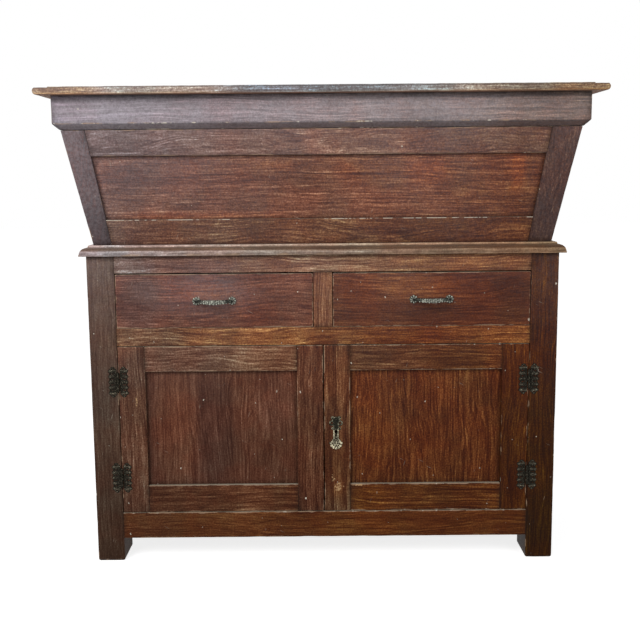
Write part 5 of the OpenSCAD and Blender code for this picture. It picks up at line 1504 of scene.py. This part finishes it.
def make_door_hinges():
    """The leaves on the legs and on both doors, in low relief."""
    iron = bpy.data.materials["iron_finish"]
    posts = Casting()
    for side in (-1, 1):
        for z in HINGE_ZS:
            add_leaf(posts, side, (side * HINGE_X, z), ((-1.5, -0.5), (0.5, 1.5)))
            add_pin(posts, (side * HINGE_X, z))
    add_leaf_beads(posts, iron, [(side * HINGE_X, z, side) for side in (-1, 1) for z in HINGE_ZS])
    cast_object("post_hinge_leaves", posts)
    for side, node in ((-1, "left_door_hinge_leaves"), (1, "right_door_hinge_leaves")):
        leaves = Casting()
        for z in HINGE_ZS:
            add_leaf(leaves, -side, (side * HINGE_X, z), ((-0.5, 0.5),))
        add_leaf_beads(leaves, iron, [(side * HINGE_X, z, -side) for z in HINGE_ZS])
        cast_object(node, leaves)


# Keyhole plate, in millimetres from the keyhole

PLATE_UP = 34.0
PLATE_DOWN = 42.0
PLATE_W = 32.0
PLATE_LOBE = 3.0
KEY_R = 3.2
KEY_X = (low("keyhole_plate", 0) + high("keyhole_plate", 0)) / 2 / MM
KEY_Z = high("keyhole_plate", 2) / MM - PLATE_UP
FOOT_R = PLATE_W / 2 - PLATE_LOBE - 1.6
FOOT_Z = PLATE_W / 2 - PLATE_DOWN
HEAD_R = PLATE_W * 0.28
HEAD_Z = PLATE_UP - HEAD_R - 1
LOBE_TURN = 30

# Small holes through the foot, from its middle
FOOT_HOLES = [(-4.6, 4.4), (0.4, 5.2), (4.8, 3.8), (-7.6, -0.6), (-2.2, 0.2), (2.8, -0.8), (7.6, -1.0),
              (-5.0, -5.2), (0.2, -5.6), (5.2, -5.6), (-1.8, -9.6), (2.8, -9.8)]


def plate_outline(x, z):
    """Outline of the keyhole plate: a lobed head, a narrow waist and a fan-shaped foot."""
    beside = np.abs(x)
    parts = [slab(x, z, -PLATE_W / 5, PLATE_W / 5, FOOT_Z, HEAD_Z), disc(x, z, 0, HEAD_Z, HEAD_R),
             disc(beside, z, HEAD_R, HEAD_Z - HEAD_R * 0.6, HEAD_R * 0.67),
             disc(beside, z, HEAD_R * 0.8, PLATE_UP - HEAD_R * 0.45, HEAD_R * 0.45),
             disc(beside, z, HEAD_R * 0.85, HEAD_R * 0.75, PLATE_LOBE),
             disc(x, z, 0, FOOT_Z, FOOT_R)]
    for degrees in range(180, 361, LOBE_TURN):
        turn = math.radians(degrees)
        parts.append(disc(x, z, FOOT_R * math.cos(turn), FOOT_Z + FOOT_R * math.sin(turn), PLATE_LOBE))
    return joined(*parts)


def plate_holes(x, z):
    """The keyhole and the other holes pierced through the plate."""
    parts = [disc(x, z, 0, 0, KEY_R), slab(x, z, -KEY_R / 2, KEY_R / 2, -KEY_R * 3, 0),
             disc(np.abs(x), z, HEAD_R, PLATE_UP - HEAD_R * 1.7, PLATE_LOBE * 0.66)]
    for across, up in FOOT_HOLES:
        parts.append(disc(x, z, across, FOOT_Z + up, 0.75))
    return joined(*parts)


def plate_shape(x, z):
    """Outline of the pierced plate."""
    return np.maximum(plate_outline(x, z), -plate_holes(x, z))


def plate_height(x, z):
    """Relief of the keyhole plate: a bead along the rim, a collar round the keyhole, a fan of ribs."""
    tall = np.full(x.shape, 1.15)
    tall += 0.75 * bump_at(plate_outline(x, z) + 1.5, 0.8)
    tall += 0.85 * bump_at(np.hypot(x, z) - KEY_R - 1.4, 0.9)
    turn = np.arctan2(z - FOOT_Z - 2, x)
    reach = np.hypot(x, z - FOOT_Z - 2)
    fan = 0.5 + 0.5 * np.cos(turn * 12)
    tall += np.where(z < FOOT_Z + 4, 0.45 * fan * rise(reach, 2, 7) + 0.45, 0)
    for across, up in FOOT_HOLES:
        tall -= 1.3 * bump_at(np.hypot(x - across, z - FOOT_Z - up), 1.5)
    beside = np.abs(x)
    tall += 0.8 * bump_at(np.hypot(beside - HEAD_R, z - HEAD_Z + HEAD_R * 0.6) - 3.2, 0.9)
    tall += 0.9 * bump_at(np.hypot(beside - HEAD_R * 0.8, z - PLATE_UP + HEAD_R * 0.45), 1.9)
    tall += 0.9 * bump_at(np.hypot(x, (z - HEAD_Z - 2) * 0.6), 2.1)
    tall += 0.45 * bump_at(beside - 3.8 - 0.14 * np.abs(z + 12), 0.8) * (np.abs(z + 10) < 8)
    edge = rise(-plate_shape(x, z), 0.0, 0.9)
    return np.minimum(tall, 2.35) * (0.40 + 0.60 * edge)


def make_keyhole_plate():
    """The pierced plate round the keyhole, darker over its head than over its foot."""
    casting = Casting()
    half = PLATE_W / 2 + 1
    points, faces, raised = relief_plate(
        plate_shape, plate_height, (-half, half), (-PLATE_DOWN - 1, PLATE_UP + 1), 0.4)
    rim = bump_at(plate_outline(points[:, 0], points[:, 2]) + 1.2, 1.0)
    raised = raised * (1 - rise(points[:, 2], 0, 8) * (0.97 - 0.62 * rim))
    casting.add(points, faces, raised, (KEY_X, FRONT_Y / MM - PLATE_SINK, KEY_Z))
    cast_object("keyhole_plate", casting)


# Drawer pulls, in millimetres from the middle between the posts

PULL_PITCH = 76.0
PULL_OUT = 25.0
PULL_T = 3.5
PULL_POST = 7.5
FRONT_T = 20.0
ROSETTE_SCALE = 0.97


def bow_path(count):
    """Middle line of the bow, from one rosette to the other."""
    reach = PULL_PITCH / 2
    out = PULL_OUT - 4
    radius = (reach * reach + out * out) / (2 * out)
    span = math.asin(reach / radius) * 0.985
    turn = np.linspace(-span, span, count)
    mid = radius - PULL_T / 2
    return np.column_stack([mid * np.sin(turn), radius - PULL_OUT - mid * np.cos(turn), np.zeros(count)])


def add_bow(casting):
    """The bow: a flat bar, tallest in the middle, gadrooned, with a collar near each end."""
    count = 121
    path = bow_path(count)
    share = np.abs(np.linspace(-1, 1, count))
    swell = np.cos(share * math.pi / 2) ** 0.8
    top = 2.3 + 1.9 * swell
    bottom = 2.4 + 3.1 * swell
    collar = bump_at(share - 0.72, 0.035)
    top += collar
    bottom += collar
    deep = 1.35 + 0.45 * swell + 0.7 * collar
    ribs = 0.22 * np.abs(np.sin(np.linspace(-1, 1, count) * math.pi * 9.5)) - 0.12
    ribs = np.where(share < 0.66, ribs, 0)
    half = [((t - b) / 2, (t + b) / 2) for t, b in zip(top, bottom)]
    points, faces, raised = swept(path, half, deep, ribs, 18)
    casting.add(points, faces, raised * (1 - 0.75 * rise(np.abs(points[:, 0]), 20, 30)))


def add_rosette(casting, side):
    """A scalloped, dished rosette, the post on it, and the shank riveted behind the drawer front."""
    dish = [(0.6, -1.2), (2.2, -1.3), (3.4, -1.9), (4.4, -2.5), (5.6, -2.3), (7.0, -2.6), (8.4, -1.9),
            (8.9, -0.9), (8.9, 0.0), (0.6, 0.0)]
    place = (side * PULL_PITCH / 2, 0, 0)
    points, faces, raised = turned([(r * ROSETTE_SCALE, y) for r, y in dish], "y", 64, 8, 0.055)
    casting.add(points, faces, raised * 0.6, place)
    post = [(0.4, -4.4), (2.4, -3.9), (3.9, -2.4), (4.3, -0.4), (3.8, 1.4), (2.9, 2.6), (3.3, 3.6)]
    post = [(r, y - PULL_POST) for r, y in post] + [(2.9, -3.0), (3.6, -1.6), (3.6, -0.8), (0.4, -0.8)]
    casting.add(*turned(post, "y", 24), place)
    shank = [(0.5, -0.9), (2.4, -0.8), (2.4, FRONT_T), (4.3, FRONT_T), (4.2, FRONT_T + 0.9),
             (2.8, FRONT_T + 1.8), (0.5, FRONT_T + 2.0)]
    casting.add(*turned(shank, "y", 20), place)


def make_pulls():
    """Both drawer pulls: bow, rosettes with petals, and beads along the bow."""
    material = bpy.data.materials["pewter_finish"]
    for node in ("left_drawer_pull", "right_drawer_pull"):
        casting = Casting()
        add_bow(casting)
        for side in (-1, 1):
            add_rosette(casting, side)
        reach = PULL_PITCH / 2 * MM
        petals = grow("petal_ring", [(-reach, -2.2 * MM, 0), (reach, -2.2 * MM, 0)], material,
                      Petals=8, Ring_Radius=6.2 * MM, Petal_Size=(2.5 * MM, 1.75 * MM, 0.85 * MM))
        casting.add_mesh(petals, 0.9)
        path = bow_path(13)[2:-2] * MM
        lower = [(x, y - 0.9 * MM, -5.0 * MM + abs(x) * 0.055) for x, y, _ in path]
        beads = grow("bead_row", lower, material, Count=1, Spacing=1 * MM, Bead_Radius=1.5 * MM, Flatness=0.8)
        casting.add_mesh(beads, 0.9)
        front = node.replace("pull", "front")
        middle = [(low(node, 0) + high(node, 0)) / 2, FRONT_Y, (low(front, 2) + high(front, 2)) / 2]
        casting.points = [p + np.array(middle) / MM for p in casting.points]
        cast_object(node, casting)


# Nails and plain ironwork

NAIL_HEAD_R = 2.0 * MM
NAIL_HEAD_H = 1.25 * MM
NAIL_SHANK_R = 0.85 * MM
IRON_ANGLE = 30
IRON_ROUNDING = 0.35 * MM


def nail_places(node):
    """Head place, facing and length of every nail of a CAD node."""
    bm = bmesh.new()
    bm.from_mesh(frame["nodes"][node].data)
    bmesh.ops.remove_doubles(bm, verts=bm.verts, dist=0.01 * MM)
    rows = []
    for part in loose_parts(bm):
        points = np.array([v.co for v in part.verts])
        part.free()
        span = np.ptp(points, axis=0)
        axis = int(np.argmax(span))
        lo, hi = points.min(0), points.max(0)
        near = points[points[:, axis] < lo[axis] + span[axis] * 0.15]
        far = points[points[:, axis] > hi[axis] - span[axis] * 0.15]
        across = [i for i in range(3) if i != axis]
        head_low = np.ptp(near[:, across], axis=0).max() > np.ptp(far[:, across], axis=0).max()
        facing = np.zeros(3)
        facing[axis] = -1 if head_low else 1
        place = (lo + hi) / 2
        place[axis] = lo[axis] if head_low else hi[axis]
        rows.append((place, facing, span[axis]))
    return rows


def make_nails(node):
    """The nails of one CAD node, grown on their places."""
    places, facings, lengths = zip(*nail_places(node))
    roots = [place - facing * NAIL_HEAD_H * 0.95 for place, facing in zip(places, facings)]
    mesh = grow("nails", roots, bpy.data.materials["iron_finish"], facings,
                Head_Radius=NAIL_HEAD_R, Head_Height=NAIL_HEAD_H, Shank_Radius=NAIL_SHANK_R,
                Shank_Length=min(lengths) - NAIL_HEAD_H)
    casting = Casting()
    casting.add_mesh(mesh, 0.55)
    cast_object(node, casting)


def make_ironwork(node):
    """A plain forged part: the CAD solid with rounded arrises that wear bright."""
    bm = merged_copy(node)
    edges = [e for e in bm.edges if len(e.link_faces) == 2 and e.calc_length() > 0.8 * MM
             and e.calc_face_angle_signed(0) > math.radians(IRON_ANGLE)]
    rows = arris_rows([e for e in edges if e.calc_length() > 3 * MM], [])
    bm = rounded(bm, edges, [], IRON_ROUNDING)
    cut_planes(bm, layout_planes(bm, Board("z", fine=False), grain_axes("z")))
    points = np.array([v.co for v in bm.verts])
    near = arris_distances(points, rows)[0] if rows else np.full(len(points), 1.0)
    level = bm.verts.layers.float.new("raised")
    bm.verts.ensure_lookup_table()
    for vert, gap in zip(bm.verts, near):
        vert[level] = 0.35 + 0.6 * max(0.0, 1 - gap / (1.5 * MM))
    smooth_shading(bm, sharp=40)
    mesh = bpy.data.meshes.new(node + "_forged")
    bm.to_mesh(mesh)
    bm.free()
    dress(node, mesh)


# Settings that a user would change

def stain_property(name, default, description):
    """A colour that a user can change."""
    return bpy.props.FloatVectorProperty(
        name=name, description=description, subtype="COLOR", size=3, min=0, max=1, default=default)


class WoodFinish(bpy.types.PropertyGroup):
    """Stains, grain and wear of the wooden pieces."""

    wood_body: stain_property("Body stain", (0.092, 0.034, 0.016), "Stain of the legs, rails and stiles")
    wood_light: stain_property("Light stain", (0.135, 0.052, 0.026), "Stain of the lighter rails")
    wood_dark: stain_property("Dark stain", (0.050, 0.026, 0.018), "Stain of the darker posts")
    wood_panel: stain_property("Panel stain", (0.092, 0.032, 0.015), "Stain of the panels and drawer fronts")
    wood_inside: stain_property("Inside", (0.30, 0.205, 0.125), "Bare wood inside cupboard and trough")
    wood_edge: stain_property("Worn edge", (0.235, 0.190, 0.165), "Worn wood of the lid and the moulding")
    bare_colour: stain_property("Bare wood", (0.37, 0.25, 0.165), "Wood laid bare along the arrises")
    flaked_colour: stain_property("Flaked", (0.42, 0.26, 0.13), "Wood where the finish has flaked off")
    # colour of the wax bloom, which also paints a sheen
    bloom_colour: stain_property("Bloom", (0.40, 0.37, 0.40), "Bloom on the old wax")
    dust_colour: stain_property("Dust", (0.40, 0.36, 0.28), "Dust on what faces up")
    speck_colour: stain_property("Specks", (0.68, 0.62, 0.51), "Spots of old paint")
    ring_width: bpy.props.FloatProperty(
        name="Ring width", description="Distance between growth rings", default=8 * MM, unit="LENGTH")
    grain_depth: bpy.props.FloatProperty(
        name="Grain depth", description="Depth of the open grain", default=0.5 * MM, unit="LENGTH")
    wear_width: bpy.props.FloatProperty(
        name="Wear width", description="Usual width of the worn strip along an arris", default=1.6 * MM,
        unit="LENGTH")
    speck_spacing: bpy.props.FloatProperty(
        name="Speck spacing", description="Distance between spots of paint", default=55 * MM, unit="LENGTH")
    speck_radius: bpy.props.FloatProperty(
        name="Speck radius", description="Usual radius of a spot of paint", default=1.5 * MM, unit="LENGTH")
    gloss: bpy.props.FloatProperty(
        name="Gloss", description="Strength of the wax's reflection", default=0.06, min=0, max=1,
        subtype="FACTOR")


class Studio(bpy.types.PropertyGroup):
    """Camera, lamps and the light from all round."""

    lens: bpy.props.FloatProperty(
        name="Lens", description="Focal length", default=55.07, subtype="DISTANCE_CAMERA")
    pitch: bpy.props.FloatProperty(
        name="Pitch", description="How far the camera looks down", default=math.radians(8.4), subtype="ANGLE")
    roll: bpy.props.FloatProperty(
        name="Roll", description="How far the camera is tipped sideways", default=0.0085, subtype="ANGLE")
    camera_place: bpy.props.FloatVectorProperty(
        name="Camera", description="Where the camera stands", default=(-0.0066, -2.2617, 0.8393),
        subtype="TRANSLATION", unit="LENGTH")
    key_power: bpy.props.FloatProperty(
        name="Key lamp", description="Power of the lamp at the upper left", default=62, subtype="POWER")
    fill_power: bpy.props.FloatProperty(
        name="Fill lamp", description="Power of the lamp at the right", default=22, subtype="POWER")
    ambient: bpy.props.FloatProperty(
        name="Ambient", description="Strength of the light from all round", default=0.42, min=0)


# Operators, one for each piece or group of like pieces

# Each wood's share of rings, streaks, fibres, bloom with painted sheen and spots of paint, then its roughness
WOODS = {
    "wood_body": (0.35, 1.10, 2.20, 1.0, 0.60, 0.50),
    "wood_light": (0.45, 1.10, 2.30, 1.0, 0.55, 0.50),
    "wood_dark": (0.25, 1.00, 2.10, 1.0, 0.60, 0.55),
    "wood_panel": (0.25, 1.10, 2.30, 1.0, 0.60, 0.45),
    "wood_inside": (0.50, 0.50, 0.70, 0.1, 0.05, 0.70),
    "wood_edge": (0.20, 1.30, 2.20, 0.6, 0.20, 0.60),
}

# Each metal's colour in its hollows and where it is worn or has painted glints, then how much is worn, how
# bright the painted glints on the highest points are, its roughness, its share of bare metal and the fineness
# of its pits
METALS = {
    "iron": ((0.007, 0.006, 0.004), (0.50, 0.44, 0.32), 0.40, 0.20, 0.46, 0.4, 420.0),
    "pewter": ((0.014, 0.015, 0.013), (0.44, 0.45, 0.38), 0.62, 0.33, 0.42, 0.5, 380.0),
    "old_brass": ((0.010, 0.009, 0.006), (0.64, 0.58, 0.40), 0.62, 0.26, 0.44, 0.5, 330.0),
}


def each_board(*nodes):
    """Makes the wooden pieces for the given nodes."""
    for node in nodes:
        make_board(node, bpy.context.scene.cupboard_wood)


class CUPBOARD_OT_finishes(bpy.types.Operator):
    """Make the finishes for all material slots, and the motifs that are repeated"""

    bl_idname = "cupboard.finishes"
    bl_label = "Finishes"

    def execute(self, context):
        for make in (make_wood_figure, make_edge_wear, make_surface_plane, make_specks, make_scratches,
                     make_bloom_and_sheen, make_flakes, make_patina, make_nail_tree, make_bead_tree, make_petal_tree):
            make()
        for name, shares in WOODS.items():
            make_wood(name, context.scene.cupboard_wood, *shares)
        for name, values in METALS.items():
            make_metal(name, *values)
        return {"FINISHED"}


class CUPBOARD_OT_carcass(bpy.types.Operator):
    """Make the legs, rails, panels and back boards of the cupboard"""

    bl_idname = "cupboard.carcass"
    bl_label = "Carcass"

    def execute(self, context):
        each_board("front_leg_left", "front_leg_right", "rear_legs", "bottom_rail", "middle_rail", "top_rail",
                   "drawer_muntin", "side_panels", "carcass_rails", "back_boards")
        return {"FINISHED"}


class CUPBOARD_OT_inside(bpy.types.Operator):
    """Make the floor, shelf, cleats and drawer runners"""

    bl_idname = "cupboard.inside"
    bl_label = "Inside"

    def execute(self, context):
        each_board("cupboard_floor", "shelf", "shelf_cleats", "drawer_runners")
        return {"FINISHED"}


class CUPBOARD_OT_trough(bpy.types.Operator):
    """Make the waist moulding and the flared trough"""

    bl_idname = "cupboard.trough"
    bl_label = "Trough"

    def execute(self, context):
        each_board("waist_moulding", "trough_floor", "trough_stile_left", "trough_stile_right",
                   "trough_lower_rail", "trough_upper_rail", "trough_panel", "trough_ends", "trough_back")
        return {"FINISHED"}


class CUPBOARD_OT_lid(bpy.types.Operator):
    """Make the lid boards, the lid frame and the battens"""

    bl_idname = "cupboard.lid"
    bl_label = "Lid"

    def execute(self, context):
        each_board("lid_planks", "lid_apron_front", "lid_apron_sides", "lid_apron_back", "lid_battens")
        return {"FINISHED"}


class CUPBOARD_OT_doors(bpy.types.Operator):
    """Make the stiles, rails and panels of both doors"""

    bl_idname = "cupboard.doors"
    bl_label = "Doors"

    def execute(self, context):
        for side in ("left_door", "right_door"):
            each_board(*(f"{side}_{part}" for part in ("hinge_stile", "lock_stile", "rails", "panel")))
        return {"FINISHED"}


class CUPBOARD_OT_drawers(bpy.types.Operator):
    """Make the fronts, sides, backs and bottoms of both drawers"""

    bl_idname = "cupboard.drawers"
    bl_label = "Drawers"

    def execute(self, context):
        for side in ("left_drawer", "right_drawer"):
            each_board(*(f"{side}_{part}" for part in ("front", "sides", "back", "bottom")))
        return {"FINISHED"}


class CUPBOARD_OT_hinges(bpy.types.Operator):
    """Make the leaves of the door hinges and the plain lid hinges"""

    bl_idname = "cupboard.hinges"
    bl_label = "Hinges"

    def execute(self, context):
        make_door_hinges()
        for node in ("lid_hinge_fixed_leaves", "lid_hinge_moving_leaves"):
            make_ironwork(node)
        return {"FINISHED"}


class CUPBOARD_OT_lock(bpy.types.Operator):
    """Make the keyhole plate, the lock, its keeper and the slide bolt"""

    bl_idname = "cupboard.lock"
    bl_label = "Lock and bolt"

    def execute(self, context):
        make_keyhole_plate()
        for node in ("lock_case", "lock_bolt", "left_door_bolt", "left_door_keeper"):
            make_ironwork(node)
        return {"FINISHED"}


class CUPBOARD_OT_pulls(bpy.types.Operator):
    """Make the cast pulls of both drawers"""

    bl_idname = "cupboard.pulls"
    bl_label = "Drawer pulls"

    def execute(self, context):
        make_pulls()
        return {"FINISHED"}


class CUPBOARD_OT_nails(bpy.types.Operator):
    """Make the nails of the hinges, the keyhole plate, the lid and the back boards"""

    bl_idname = "cupboard.nails"
    bl_label = "Nails"

    def execute(self, context):
        for node in ("fixed_nails", "lid_nails", "left_door_nails", "right_door_nails"):
            make_nails(node)
        return {"FINISHED"}


class CUPBOARD_OT_stage(bpy.types.Operator):
    """Make the floor, the lamps, the world and the camera"""

    bl_idname = "cupboard.stage"
    bl_label = "Stage"

    def execute(self, context):
        studio = context.scene.cupboard_studio
        make_floor()
        make_world(studio.ambient)
        make_lamp("key", (-1.5, -2.3, 2.1), 1.5, studio.key_power, (1.0, 0.985, 0.97))
        make_lamp("fill", (1.9, -2.3, 1.3), 1.8, studio.fill_power, (0.97, 0.985, 1.0))
        make_camera(studio)
        context.scene.view_settings.view_transform = "Standard"
        return {"FINISHED"}


def seen_directly(tree):
    """1 for what the camera sees, itself or by a reflection or clear glass, and 0 for light on the object."""
    path = put(tree, "ShaderNodeLightPath").outputs
    mirrored = calc(tree, "MAXIMUM", path["Is Camera Ray"], path["Is Glossy Ray"])
    return calc(tree, "MAXIMUM", mirrored, path["Is Transmission Ray"])


def make_floor():
    """A wide pale floor that keeps the shadow of the cupboard."""
    half = 14.0
    corners = [(-half, -half, 0), (half, -half, 0), (half, half, 0), (-half, half, 0)]
    mesh = bpy.data.meshes.new("floor")
    mesh.from_pydata(corners, [], [(0, 1, 2, 3)])
    floor = in_scene("floor", mesh)
    material, tree, bsdf = shader("floor")
    bsdf.inputs["Base Color"].default_value = (0.55, 0.55, 0.55, 1)
    bsdf.inputs["Roughness"].default_value = 0.9
    bsdf.inputs["Specular IOR Level"].default_value = 0.1
    shown = blend(tree, seen_directly(tree), (0.0, 0.0, 0.0), (0.80, 0.80, 0.80))
    fill(tree, bsdf.inputs["Emission Color"], shown)
    bsdf.inputs["Emission Strength"].default_value = 1.0
    mesh.materials.append(material)


def make_world(ambient):
    """White to the eye and in reflections, and a plain even light for everything else."""
    world = bpy.data.worlds.new("studio")
    world.use_nodes = True
    tree = world.node_tree
    seen = seen_directly(tree)
    background = tree.nodes["Background"]
    fill(tree, background.inputs["Color"], blend(tree, seen, (0.97, 0.985, 1.0), (1.0, 1.0, 1.0)))
    fill(tree, background.inputs["Strength"], ramp(tree, seen, 0.0, 1.0, ambient, 1.0))
    bpy.context.scene.world = world


def make_lamp(name, place, size, power, colour):
    """A soft square lamp aimed at the middle of the cupboard."""
    data = bpy.data.lights.new(name, "AREA")
    data.size = size
    data.energy = power
    data.color = colour
    lamp = in_scene(name, data)
    lamp.location = place
    aim = Vector((0, FRONT_Y, 0.55)) - Vector(place)
    lamp.rotation_euler = aim.to_track_quat("-Z", "Y").to_euler()


def make_camera(studio):
    """The camera at the photograph's place and angle."""
    data = bpy.data.cameras.new("camera")
    data.lens = studio.lens
    data.sensor_width = 36
    camera = in_scene("camera", data)
    forward = Vector((0, math.cos(studio.pitch), -math.sin(studio.pitch)))
    right = Vector((1, 0, 0))
    up = right.cross(forward)
    c, s = math.cos(studio.roll), math.sin(studio.roll)
    right, up = right * c - up * s, right * s + up * c
    turn = Matrix((right, up, -forward)).transposed()
    camera.matrix_world = Matrix.Translation(studio.camera_place) @ turn.to_4x4()
    bpy.context.scene.camera = camera


STEPS = [
    CUPBOARD_OT_stage,
    CUPBOARD_OT_finishes,
    CUPBOARD_OT_carcass,
    CUPBOARD_OT_inside,
    CUPBOARD_OT_trough,
    CUPBOARD_OT_lid,
    CUPBOARD_OT_doors,
    CUPBOARD_OT_drawers,
    CUPBOARD_OT_hinges,
    CUPBOARD_OT_lock,
    CUPBOARD_OT_pulls,
    CUPBOARD_OT_nails,
]


class CUPBOARD_PT_panel(bpy.types.Panel):
    """Steps and settings of the bread cupboard"""

    bl_label = "Bread cupboard"
    bl_idname = "CUPBOARD_PT_panel"
    bl_space_type = "VIEW_3D"
    bl_region_type = "UI"
    bl_category = "Cupboard"

    def draw(self, context):
        for step in STEPS:
            self.layout.operator(step.bl_idname)
        for settings in (context.scene.cupboard_wood, context.scene.cupboard_studio):
            box = self.layout.box()
            for name in settings.bl_rna.properties.keys():
                if name not in ("rna_type", "name"):
                    box.prop(settings, name)


CLASSES = [WoodFinish, Studio, *STEPS, CUPBOARD_PT_panel]


def register():
    """Registers the classes and puts the settings on the scene."""
    for cls in CLASSES:
        bpy.utils.register_class(cls)
    bpy.types.Scene.cupboard_wood = bpy.props.PointerProperty(type=WoodFinish)
    bpy.types.Scene.cupboard_studio = bpy.props.PointerProperty(type=Studio)


def unregister():
    """Takes the settings and the classes away again."""
    del bpy.types.Scene.cupboard_studio
    del bpy.types.Scene.cupboard_wood
    for cls in reversed(CLASSES):
        bpy.utils.unregister_class(cls)


def main():
    register()
    for step in STEPS:
        area, name = step.bl_idname.split(".")
        getattr(getattr(bpy.ops, area), name)()


if __name__ == "__main__":
    main()
